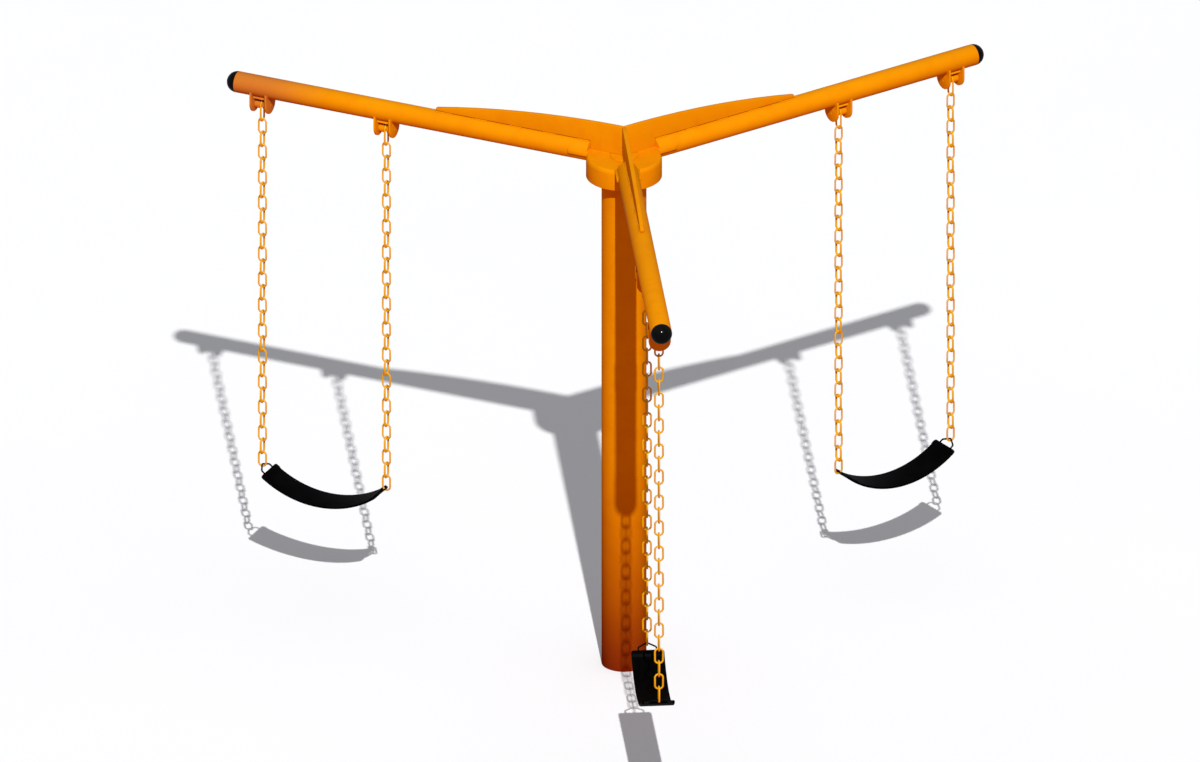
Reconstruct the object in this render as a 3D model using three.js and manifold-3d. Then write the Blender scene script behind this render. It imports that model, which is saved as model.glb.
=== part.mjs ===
// Three-seat swing set: one post, a round hub and three arms at 120 degrees, each arm with a
// belt seat on two chains. Millimetres, +Z up, origin at the centre of the post's foot.
import * as THREE from "three";
import { mergeVertices } from "three/addons/utils/BufferGeometryUtils.js";
import Module from "manifold-3d";

const wasm = await Module();
wasm.setup();

// ---- driving dimensions ----------------------------------------------------------------
const ARM_HEIGHT = 2400;
const ARMS = [
  { name: "front", angle: -90 },
  { name: "right", angle: 30 },
  { name: "left", angle: 150 },
];
const GAP = 0.35;

const POST = { radius: 97, wall: 6, floor: 10, sides: 36 };
const HUB = { radius: 164, topRadius: 158, top: 5, bevel: 14.5, depth: 95, plate: 12, wall: 10, sides: 36 };
const BOSS = { radius: 60, height: 4.7, bevel: 1.5, sides: 24 };

const TUBE = { radius: 46.5, wall: 4, start: 157, end: 1838, sides: 28 };
const CAP = { plug: 38, wall: 4, sides: 20, domeSteps: 4, innerSteps: 2 };
const GUSSET = { thickness: 17, crest: [[0, 142], [310, 133], [608, 106], [888, 62.5]], end: 892 };
const TONGUE = { thickness: 18, middle: 1, end: 247, halfWidth: 54, corner: 8 };

const HANGER_PLACES = [
  { name: "inner", radius: 1130, side: -1 },
  { name: "outer", radius: 1720, side: 1 },
];
const PIN = { drop: 84, radius: 7, proud: 0.8, chamfer: 1, sides: 12 };
const EAR = { spacing: 71.6, thickness: 9, halfWidth: 48.3, top: -17, roundCentre: -71, curve: 5 };
const SADDLE = { thickness: 9, halfAngle: 30, bite: 1, steps: 3 };
const BUSH = { radius: 18.5, neck: 12, neckHalf: 5, flare: 2, endPlay: 0.4, sides: 14 };

const WIRE = 8.2;
const LINK_WIDTH = 43;
const PITCH = 60.67;
const CHAIN_LINKS = 26;
const HANGER_LINK_DROP = 77;
// The chain's own links are four-cornered and square-wired, and weigh what the round ones do.
const SQUARE_WIRE = 6.7;
const LINK_FUSION = 0.3;
const END_LINK_PLAY = 0.9;
const ROUND_LINK = { wireSides: 8, bendSteps: 4 };

const SEAT = { radius: 448, thickness: 9.5, width: 144, halfAngle: 37.3, corner: 12, steps: 16 };
const HEM = { thickness: 13, from: 34.2, ramp: 0.8, steps: 1 };
const RING = { wire: 7.5, halfBase: 39.5, inset: 13, shoulder: 16, bend: 6, apexRadius: 12 };
const RING_MESH = { sides: 6, steps: 18 };
const RING_BAR = { proud: 0.25, sides: 8 };
const RING_POCKET = 0.4;
// Underside of the belt below the line of the two end links' lower bends.
const BELT_DROP = 111.4;
// Points nearer than this are one point.
const MERGE_WITHIN = 1e-3;

// ---- worked-out values -----------------------------------------------------------------
const rad = THREE.MathUtils.degToRad;
const wireRadius = WIRE / 2;
const linkHalf = (LINK_WIDTH - WIRE) / 2;
const pinToLinkEye = -HANGER_LINK_DROP;
const chainEnd = -CHAIN_LINKS * PITCH;
const seatHang = -(CHAIN_LINKS + 1) * PITCH;
const seatCentre = (HANGER_PLACES[0].radius + HANGER_PLACES[1].radius) / 2;
const chainOffset = (HANGER_PLACES[1].radius - HANGER_PLACES[0].radius) / 2;
const ringRadius = RING.wire / 2;
const hemMiddle = SEAT.radius - HEM.thickness / 2;

// The middle of the belt's end face.
const beltEnd = {
  x: hemMiddle * Math.sin(rad(SEAT.halfAngle)),
  z: SEAT.radius - hemMiddle * Math.cos(rad(SEAT.halfAngle)),
};
// How far up the end link the ring's apex sits.
const apexLift = wireRadius + GAP + ringRadius;

// ---- materials -------------------------------------------------------------------------
const finish = (color, roughness, metalness) => () =>
  new THREE.MeshStandardMaterial({ color, roughness, metalness });
const framePaint = finish(0xf29005, 0.45, 0.0);
const chainPaint = finish(0xee9a1c, 0.5, 0.1);
const capPlastic = finish(0x050606, 0.15, 0.0);
const beltRubber = finish(0x060606, 0.6, 0.0);
const ringCoat = finish(0x080808, 0.45, 0.2);

// ---- geometry helpers ------------------------------------------------------------------
function closedTriangles(geometry) {
  const bare = geometry.clone();
  bare.deleteAttribute("normal");
  bare.deleteAttribute("uv");
  const merged = mergeVertices(bare, MERGE_WITHIN);
  const corners = merged.index.array;
  const kept = [];
  for (let i = 0; i < corners.length; i += 3) {
    const [a, b, c] = [corners[i], corners[i + 1], corners[i + 2]];
    if (a !== b && b !== c && c !== a) kept.push(a, b, c);
  }
  merged.setIndex(kept);
  return merged;
}

function signedVolume(geometry) {
  const place = geometry.attributes.position;
  const corners = geometry.index.array;
  const [a, b, c] = [new THREE.Vector3(), new THREE.Vector3(), new THREE.Vector3()];
  let sum = 0;
  for (let i = 0; i < corners.length; i += 3) {
    a.fromBufferAttribute(place, corners[i]);
    b.fromBufferAttribute(place, corners[i + 1]);
    c.fromBufferAttribute(place, corners[i + 2]);
    sum += a.dot(b.cross(c)) / 6;
  }
  return sum;
}

// A closed manifold solid that faces out, from any closed three.js geometry.
function solidOf(geometry) {
  const shell = closedTriangles(geometry);
  const triVerts = Uint32Array.from(shell.index.array);
  if (signedVolume(shell) < 0) triVerts.reverse();
  const vertProperties = Float32Array.from(shell.attributes.position.array);
  return new wasm.Manifold(new wasm.Mesh({ numProp: 3, vertProperties, triVerts }));
}

function geometryOf(solid) {
  const { vertProperties, triVerts } = solid.getMesh();
  const geometry = new THREE.BufferGeometry();
  geometry.setAttribute("position", new THREE.BufferAttribute(Float32Array.from(vertProperties), 3));
  geometry.setIndex(Array.from(triVerts));
  geometry.computeVertexNormals();
  return geometry;
}

const facingOut = (geometry) => geometryOf(solidOf(geometry));

const points2 = (pairs) => pairs.map(([x, y]) => new THREE.Vector2(x, y));

// A profile of [radius, height] pairs turned about +Z.
function turned(pairs, sides) {
  return facingOut(new THREE.LatheGeometry(points2(pairs), sides).rotateX(Math.PI / 2));
}

// A profile of [radius, distance] pairs turned about +X.
function turnedAlongX(pairs, sides) {
  return facingOut(new THREE.LatheGeometry(points2(pairs), sides).rotateZ(-Math.PI / 2));
}

const closed = (pairs) => [...pairs, pairs[0]];

// An outline in X (along) and Z (up), centred across Y.
function plateAcrossY(shape, thickness, curveSegments = 8) {
  const options = { depth: thickness, bevelEnabled: false, curveSegments };
  const geometry = new THREE.ExtrudeGeometry(shape, options);
  return geometry.translate(0, 0, -thickness / 2).rotateX(Math.PI / 2);
}

// An outline in X and Y, from height low to height high.
function slab(shape, low, high, curveSegments = 6) {
  const depth = high - low;
  const geometry = new THREE.ExtrudeGeometry(shape, { depth, bevelEnabled: false, curveSegments });
  return geometry.translate(0, 0, low);
}

// An outline in Y (across) and Z (up), centred at the distance x along the arm.
function plateAcrossX(shape, thickness, x, curveSegments) {
  const options = { depth: thickness, bevelEnabled: false, curveSegments };
  const geometry = new THREE.ExtrudeGeometry(shape, options);
  geometry.translate(0, 0, -thickness / 2).rotateX(Math.PI / 2).rotateZ(Math.PI / 2);
  return geometry.translate(x, 0, 0);
}

function arc(cx, cy, radius, from, to, steps) {
  const at = (i) => rad(from + ((to - from) * i) / steps);
  return Array.from({ length: steps + 1 }, (_, i) => [
    cx + radius * Math.cos(at(i)),
    cy + radius * Math.sin(at(i)),
  ]);
}

// The corner radius of a faceted round whose flats stay outside the given radius.
const aroundRadius = (radius, sweep, steps) => radius / Math.cos(rad(sweep / steps / 2));

function roundedRectangle(halfLength, halfWidth, corner) {
  const [x, y] = [halfLength - corner, halfWidth - corner];
  return new THREE.Shape()
    .absarc(x, -y, corner, -Math.PI / 2, 0)
    .absarc(x, y, corner, 0, Math.PI / 2)
    .absarc(-x, y, corner, Math.PI / 2, Math.PI)
    .absarc(-x, -y, corner, Math.PI, 1.5 * Math.PI);
}

function piece(name, geometry, material) {
  const mesh = new THREE.Mesh(geometry, material());
  mesh.name = name;
  return mesh;
}

function placed(parent, x, y, z) {
  const group = new THREE.Group();
  group.position.set(x, y, z);
  parent.add(group);
  return group;
}

// ---- post and hub ----------------------------------------------------------------------
function postTube() {
  const top = ARM_HEIGHT + HUB.top - HUB.plate - GAP;
  const bore = POST.radius - POST.wall;
  const { radius, floor, sides } = POST;
  return turned([[0, 0], [radius, 0], [radius, top], [bore, top], [bore, floor], [0, floor]], sides);
}

// A drum with a bevelled rim: the post passes up through its floor to the underside of its top.
function hubDrum() {
  const { radius, topRadius, top, bevel, depth, plate, wall } = HUB;
  const bottom = top - depth;
  const hole = POST.radius + GAP;
  const profile = [
    [0, top],
    [topRadius, top],
    [radius, top - bevel],
    [radius, bottom],
    [hole, bottom],
    [hole, bottom + wall],
    [radius - wall, bottom + wall],
    [radius - wall, top - plate],
    [0, top - plate],
  ];
  return turned(profile, HUB.sides);
}

function hubBoss() {
  const low = HUB.top + GAP;
  const high = low + BOSS.height;
  const { radius, bevel } = BOSS;
  const edge = [[radius, high - bevel], [radius - bevel, high]];
  return turned([[0, low], [radius, low], ...edge, [0, high]], BOSS.sides);
}

// The space that the hub takes, with the gap that its neighbours keep to it.
function hubKeepOut(top) {
  const { radius, topRadius, bevel, depth } = HUB;
  const rim = HUB.top - bevel;
  const profile = [
    [0, top + GAP],
    [top > HUB.top ? radius + GAP : topRadius + GAP, top + GAP],
    [radius + GAP, rim + GAP],
    [radius + GAP, HUB.top - depth - GAP],
    [0, HUB.top - depth - GAP],
  ];
  return solidOf(turned(profile, HUB.sides));
}

// ---- arm -------------------------------------------------------------------------------
function box(x0, x1, halfWidth, z0, z1) {
  return new THREE.BoxGeometry(x1 - x0, 2 * halfWidth, z1 - z0).translate((x0 + x1) / 2, 0, (z0 + z1) / 2);
}

// A tube closed at the hub and open at the end that takes the cap.
function armTube() {
  const { radius, wall, start, end, sides } = TUBE;
  const bore = radius - wall;
  const inside = start + wall;
  const profile = [[0, start], [radius, start], [radius, end], [bore, end], [bore, inside], [0, inside]];
  const slotHalf = TONGUE.thickness / 2 + GAP;
  const slot = box(0, TONGUE.end + GAP, radius * 2, TONGUE.middle - slotHalf, TONGUE.middle + slotHalf);
  const tube = solidOf(turnedAlongX(profile, sides));
  return geometryOf(tube.subtract(hubKeepOut(HUB.top)).subtract(solidOf(slot)));
}

// A hollow push-in plug with a dome as wide as the tube.
function armEndCap() {
  const { plug, wall, sides, domeSteps, innerSteps } = CAP;
  const face = TUBE.end + GAP;
  const plugRadius = TUBE.radius - TUBE.wall - GAP * 2;
  const bore = plugRadius - wall;
  const profile = [
    ...arc(0, face, TUBE.radius, 90, 0, domeSteps),
    [plugRadius, face],
    [plugRadius, face - plug],
    [bore, face - plug],
    ...arc(0, face, bore, 0, 90, innerSteps),
  ];
  profile[0][0] = 0;
  profile[profile.length - 1][0] = 0;
  return turnedAlongX(profile, sides);
}

// A plate on edge along the arm's top. Its inner end is pointed where the three plates meet.
function armGusset() {
  const overBoss = HUB.top + BOSS.height + GAP * 2;
  const outline = [
    ...GUSSET.crest,
    [GUSSET.end, TUBE.radius + GAP],
    [TUBE.start - GAP, TUBE.radius + GAP],
    [TUBE.start - GAP, HUB.top + GAP],
    [BOSS.radius + GAP, HUB.top + GAP],
    [BOSS.radius + GAP, overBoss],
    [0, overBoss],
  ];
  const half = GUSSET.thickness / 2;
  const shoulder = GAP + half / Math.tan(rad(60));
  const plan = [[GAP, 0], [shoulder, -half], [TUBE.end, -half], [TUBE.end, half], [shoulder, half]];
  const plate = solidOf(plateAcrossY(new THREE.Shape(points2(outline)), GUSSET.thickness * 2));
  const wedge = solidOf(slab(new THREE.Shape(points2(plan)), -TUBE.radius, ARM_HEIGHT));
  return geometryOf(plate.intersect(wedge));
}

// A flat plate through the tube's two sides, from the hub's rim outwards.
function armTongue() {
  const { thickness, middle, end, halfWidth, corner } = TONGUE;
  const outline = [
    [0, -halfWidth],
    ...arc(end - corner, corner - halfWidth, corner, -90, 0, 2),
    ...arc(end - corner, halfWidth - corner, corner, 0, 90, 2),
    [0, halfWidth],
  ];
  const plate = slab(new THREE.Shape(points2(outline)), middle - thickness / 2, middle + thickness / 2);
  return geometryOf(solidOf(plate).subtract(hubKeepOut(TUBE.radius)));
}

// ---- hanger ----------------------------------------------------------------------------
// Two ears below the tube, cut to its round and joined by a thin saddle along its underside.
function hangerBracket() {
  const { spacing, thickness, halfWidth, top, roundCentre, curve } = EAR;
  const saddleRadius = TUBE.radius + GAP;
  const lip = Math.sqrt(saddleRadius ** 2 - top ** 2);
  const lipAngle = THREE.MathUtils.radToDeg(Math.asin(top / saddleRadius));
  const cutRadius = aroundRadius(saddleRadius, 180, curve * 2);
  const outline = [
    [-halfWidth, top],
    ...arc(0, roundCentre, halfWidth, 180, 360, curve * 2),
    [halfWidth, top],
    [lip, top],
    ...arc(0, 0, cutRadius, lipAngle, -180 - lipAngle, curve * 2).slice(1, -1),
    [-lip, top],
  ];
  const ear = new THREE.Shape(points2(outline));
  const eye = aroundRadius(PIN.radius + GAP, 360, PIN.sides);
  ear.holes.push(new THREE.Path(points2(arc(0, -PIN.drop, eye, 0, 360, PIN.sides).slice(0, -1))));
  const from = -90 - SADDLE.halfAngle;
  const to = -90 + SADDLE.halfAngle;
  const webRadius = aroundRadius(saddleRadius + GAP, to - from, SADDLE.steps);
  const strip = [
    ...arc(0, 0, webRadius, from, to, SADDLE.steps),
    ...arc(0, 0, webRadius + SADDLE.thickness, to, from, SADDLE.steps),
  ];
  const inside = spacing - thickness + 2 * SADDLE.bite;
  const ears = [-1, 1].map((side) => solidOf(plateAcrossX(ear, thickness, (side * spacing) / 2, curve)));
  const web = solidOf(plateAcrossX(new THREE.Shape(points2(strip)), inside, 0, curve));
  return geometryOf(ears[0].add(ears[1]).add(web));
}

function hangerPin() {
  const half = (EAR.spacing + EAR.thickness) / 2 + PIN.proud;
  const { radius, chamfer, sides } = PIN;
  const profile = [
    [0, -half],
    [radius - chamfer, -half],
    [radius, chamfer - half],
    [radius, half - chamfer],
    [radius - chamfer, half],
    [0, half],
  ];
  return turnedAlongX(profile, sides);
}

// A bush that turns on the pin, with a neck in its middle for the first link.
function hangerBush() {
  const half = (EAR.spacing - EAR.thickness) / 2 - BUSH.endPlay;
  const { radius, neck, neckHalf, flare, sides } = BUSH;
  const bore = aroundRadius(PIN.radius + GAP, 360, sides);
  const profile = [
    [bore, -half],
    [radius, -half],
    [radius, -neckHalf - flare],
    [neck, -neckHalf],
    [neck, neckHalf],
    [radius, neckHalf + flare],
    [radius, half],
    [bore, half],
  ];
  return turnedAlongX(closed(profile), sides);
}

// ---- chain -----------------------------------------------------------------------------
// A round-wire link: a torus pulled apart at its middle. Its lower bend's wire is centred at
// z = 0 and its upper bend's at z = span. It lies in the X-Z plane.
function roundLink(span) {
  const { wireSides, bendSteps } = ROUND_LINK;
  const step = Math.PI / bendSteps;
  const bendRadius = linkHalf / Math.cos(step / 2);
  const ring = new THREE.TorusGeometry(bendRadius, wireRadius, wireSides, 2 * bendSteps);
  ring.rotateZ(step / 2).rotateX(Math.PI / 2);
  const place = ring.attributes.position;
  const upper = span - linkHalf;
  for (let i = 0; i < place.count; i += 1) {
    place.setZ(i, place.getZ(i) + (place.getZ(i) > 0 ? upper : linkHalf));
  }
  return ring;
}

function rectangle(halfWidth, low, high) {
  return points2([[halfWidth, low], [halfWidth, high], [-halfWidth, high], [-halfWidth, low]]);
}

// A square-wire link of four straight stretches, placed as roundLink is.
function squareLink(span) {
  const half = SQUARE_WIRE / 2;
  const outline = new THREE.Shape(rectangle(linkHalf + half, -half, span + half));
  outline.holes.push(new THREE.Path(rectangle(linkHalf - half, half, span - half)));
  return plateAcrossY(outline, SQUARE_WIRE);
}

// The links between the hanger's link and the seat's end link, from z = 0 downwards. Each is a
// quarter turn on from the one above, and rests on it.
function chain() {
  const restingSpan = PITCH + SQUARE_WIRE - LINK_FUSION;
  const firstSpan = PITCH + wireRadius + GAP + SQUARE_WIRE / 2;
  const links = Array.from({ length: CHAIN_LINKS }, (_, i) => {
    const link = squareLink(i === 0 ? firstSpan : restingSpan);
    return solidOf(link.rotateZ((i % 2) * (Math.PI / 2)).translate(0, 0, -(i + 1) * PITCH));
  });
  return geometryOf(links.reduce((joined, link) => joined.add(link)));
}

// ---- seat ------------------------------------------------------------------------------
// The ring that the belt hangs from, in its own plane: x across the belt, y towards the apex,
// from the middle of the belt's end face. Its base bar lies inside the belt.
function seatRing(extra) {
  const reach = Math.hypot(chainOffset - beltEnd.x, BELT_DROP + apexLift - beltEnd.z);
  const centre = reach - RING.apexRadius;
  const { halfBase, inset, shoulder, bend, apexRadius } = RING;
  const toCorner = Math.atan2(shoulder - centre, halfBase);
  const tangent = toCorner + Math.acos(apexRadius / Math.hypot(halfBase, shoulder - centre));
  const touch = [apexRadius * Math.cos(tangent), centre + apexRadius * Math.sin(tangent)];
  const slope = new THREE.Vector2(touch[0] - halfBase, touch[1] - shoulder).setLength(bend);
  const path = new THREE.Path()
    .moveTo(halfBase, -inset)
    .lineTo(halfBase, shoulder - bend)
    .quadraticCurveTo(halfBase, shoulder, halfBase + slope.x, shoulder + slope.y)
    .lineTo(touch[0], touch[1])
    .absarc(0, centre, apexRadius, tangent, Math.PI - tangent)
    .lineTo(-halfBase - slope.x, shoulder + slope.y)
    .quadraticCurveTo(-halfBase, shoulder, -halfBase, shoulder - bend)
    .lineTo(-halfBase, -inset);
  const spine = path.getSpacedPoints(RING_MESH.steps).map((p) => new THREE.Vector3(p.x, p.y, 0));
  const extrudePath = new THREE.CatmullRomCurve3(spine, false, "centripetal");
  const round = arc(0, 0, ringRadius + extra, 0, 360, RING_MESH.sides).slice(0, -1);
  const options = { steps: RING_MESH.steps, bevelEnabled: false, extrudePath };
  const bow = new THREE.ExtrudeGeometry(new THREE.Shape(points2(round)), options);
  const barRadius = ringRadius + extra + RING_BAR.proud;
  const bar = new THREE.CylinderGeometry(barRadius, barRadius, 2 * (halfBase + barRadius), RING_BAR.sides);
  bar.rotateZ(Math.PI / 2).translate(0, -inset, 0);
  const lift = Math.atan2(BELT_DROP + apexLift - beltEnd.z, chainOffset - beltEnd.x);
  const flat = geometryOf(solidOf(bow).add(solidOf(bar)));
  return flat.rotateZ(-Math.PI / 2).rotateY(-lift).translate(beltEnd.x, 0, beltEnd.z);
}

// A strap that sags in an arc, with a thicker hem at each end, pocketed for its two rings.
function beltSeat() {
  const { radius, thickness, halfAngle, steps } = SEAT;
  const hemStart = HEM.from - HEM.ramp;
  const top = radius - thickness;
  const hem = radius - HEM.thickness;
  const down = -90;
  const outline = [
    ...arc(0, radius, radius, down - halfAngle, down + halfAngle, steps),
    ...arc(0, radius, hem, down + halfAngle, down + HEM.from, HEM.steps),
    ...arc(0, radius, top, down + hemStart, down - hemStart, steps),
    ...arc(0, radius, hem, down - HEM.from, down - halfAngle, HEM.steps),
  ];
  const strap = solidOf(plateAcrossY(new THREE.Shape(points2(outline)), SEAT.width));
  const tip = radius * Math.sin(rad(halfAngle));
  const plan = solidOf(slab(roundedRectangle(tip + GAP, SEAT.width / 2, SEAT.corner), -radius, radius));
  const pocket = seatRing(RING_POCKET);
  const pockets = [0, Math.PI].map((turn) => solidOf(pocket.clone().rotateZ(turn)));
  return geometryOf(strap.intersect(plan).subtract(pockets[0]).subtract(pockets[1]));
}

// ---- assembly --------------------------------------------------------------------------
const shared = {
  tube: armTube(),
  cap: armEndCap(),
  gusset: armGusset(),
  tongue: armTongue(),
  bracket: hangerBracket(),
  pin: hangerPin(),
  bush: hangerBush(),
  hangerLink: roundLink(HANGER_LINK_DROP + BUSH.neck + GAP + wireRadius).rotateZ(Math.PI / 2),
  chain: chain(),
  endLink: roundLink(PITCH + SQUARE_WIRE / 2 + END_LINK_PLAY + wireRadius),
  belt: beltSeat(),
  ring: seatRing(0),
};

const swingSet = new THREE.Group();
swingSet.add(piece("post_tube", postTube(), framePaint));
const head = placed(swingSet, 0, 0, ARM_HEIGHT);
head.add(piece("hub_drum", hubDrum(), framePaint));
head.add(piece("hub_boss", hubBoss(), framePaint));

for (const { name, angle } of ARMS) {
  const arm = placed(head, 0, 0, 0);
  arm.rotation.z = rad(angle);
  arm.add(piece(`arm_tube_${name}`, shared.tube, framePaint));
  arm.add(piece(`arm_end_cap_${name}`, shared.cap, capPlastic));
  arm.add(piece(`arm_gusset_${name}`, shared.gusset, framePaint));
  arm.add(piece(`arm_tongue_${name}`, shared.tongue, framePaint));

  for (const { name: end, radius, side } of HANGER_PLACES) {
    const label = `${name}_${end}`;
    const hanger = placed(arm, radius, 0, 0);
    hanger.add(piece(`hanger_bracket_${label}`, shared.bracket, framePaint));
    const pivot = placed(hanger, 0, 0, -PIN.drop);
    pivot.add(piece(`hanger_pin_${label}`, shared.pin, framePaint));
    pivot.add(piece(`hanger_bush_${label}`, shared.bush, framePaint));
    const eye = placed(pivot, 0, 0, pinToLinkEye);
    eye.add(piece(`hanger_link_${label}`, shared.hangerLink, chainPaint));
    eye.add(piece(`chain_${label}`, shared.chain, chainPaint));
    placed(eye, 0, 0, chainEnd - PITCH).add(piece(`end_link_${label}`, shared.endLink, chainPaint));
    const ringPlace = placed(eye, -side * chainOffset, 0, seatHang - BELT_DROP);
    ringPlace.rotation.z = side > 0 ? 0 : Math.PI;
    ringPlace.add(piece(`seat_ring_${label}`, shared.ring, ringCoat));
  }
  const seat = placed(arm, seatCentre, 0, seatHang + pinToLinkEye - PIN.drop - BELT_DROP);
  seat.add(piece(`belt_seat_${name}`, shared.belt, beltRubber));
}

export default swingSet;
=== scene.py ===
"""Finishes and detailed shapes for a three-seat swing set that hangs from one post."""

import logging
import math
from collections.abc import Callable, Sequence
from dataclasses import dataclass, field
from enum import Enum

import bpy
from mathutils import Matrix, Vector


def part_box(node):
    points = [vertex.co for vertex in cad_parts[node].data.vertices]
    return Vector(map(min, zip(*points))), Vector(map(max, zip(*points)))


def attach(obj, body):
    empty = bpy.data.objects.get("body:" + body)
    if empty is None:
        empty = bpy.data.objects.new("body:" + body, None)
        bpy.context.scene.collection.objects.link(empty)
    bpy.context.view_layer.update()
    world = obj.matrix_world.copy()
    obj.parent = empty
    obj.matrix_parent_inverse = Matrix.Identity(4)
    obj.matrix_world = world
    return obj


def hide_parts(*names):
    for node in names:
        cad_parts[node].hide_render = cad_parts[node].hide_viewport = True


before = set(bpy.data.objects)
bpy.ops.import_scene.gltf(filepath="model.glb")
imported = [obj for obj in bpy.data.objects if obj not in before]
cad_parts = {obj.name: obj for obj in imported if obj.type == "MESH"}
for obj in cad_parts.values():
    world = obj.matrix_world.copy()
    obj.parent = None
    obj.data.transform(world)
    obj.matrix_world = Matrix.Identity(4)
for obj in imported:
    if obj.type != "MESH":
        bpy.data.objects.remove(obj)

LOG = logging.getLogger("swing_set")
Piece = bpy.types.Object
Material = bpy.types.Material
Node = bpy.types.Node
Socket = bpy.types.NodeSocket
Tree = bpy.types.NodeTree
Colour = tuple[float, float, float]
Point = tuple[float, float, float]
Test = Callable[[Vector, Vector], bool]

RIPPLE = (1.12, 0.9)
HAIR = 0.001
ARM_AXIS = 2.4
PIN_DROP = 0.084
LINK_EYE_DROP = 0.161
PITCH = 0.06067
CHAIN_LINKS = 26
SEAT_MIDDLE = 1.425
BELT_DROP = 0.1114
LINK_EYE = ARM_AXIS - LINK_EYE_DROP
SEAT_HANG = LINK_EYE - (CHAIN_LINKS + 1) * PITCH
BELT_UNDERSIDE = SEAT_HANG - BELT_DROP


class Axis(Enum):
    """The direction that a round piece's middle line runs in."""

    X = (0.0, math.pi / 2, 0.0)
    Z = (0.0, 0.0, 0.0)

    def point(self, along: float) -> Point:
        """Returns the point at a distance along the middle line."""
        return (along, 0.0, 0.0) if self is Axis.X else (0.0, 0.0, along)


class Element(Enum):
    """The kind of mesh element that an edit acts on."""

    VERTEX = "VERT"
    EDGE = "EDGE"
    FACE = "FACE"


class Arm(Enum):
    """The three arms, by the angle in degrees that each points at from +X."""

    FRONT = -90.0
    RIGHT = 30.0
    LEFT = 150.0

    @property
    def label(self) -> str:
        """The arm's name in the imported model."""
        return self.name.lower()

    @property
    def turn(self) -> Matrix:
        """The turn that carries a piece modelled along +X round to the arm."""
        return Matrix.Rotation(math.radians(self.value), 4, "Z")


class Hanger(Enum):
    """The two hangers under each arm, by their distance from the post's middle."""

    INNER = 1.130
    OUTER = 1.720

    @property
    def label(self) -> str:
        """The hanger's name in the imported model."""
        return self.name.lower()


def everywhere(place: Vector, direction: Vector) -> bool:
    """Passes every element: the test for an edit of the whole piece."""
    return True


def arc(radius: float, start: float, end: float, step: float) -> list[tuple[float, float]]:
    """Lists points round a circle, from its first axis towards its second.

    Args:
        radius: The circle's radius.
        start: The first point's angle in degrees.
        end: The angle in degrees that the points stay short of.
        step: The angle in degrees between two points.

    Returns:
        Each point's distances along the two axes.
    """
    angles = [math.radians(start + step * i) for i in range(math.ceil((end - start) / step))]
    return [(radius * math.cos(angle), radius * math.sin(angle)) for angle in angles]


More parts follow.
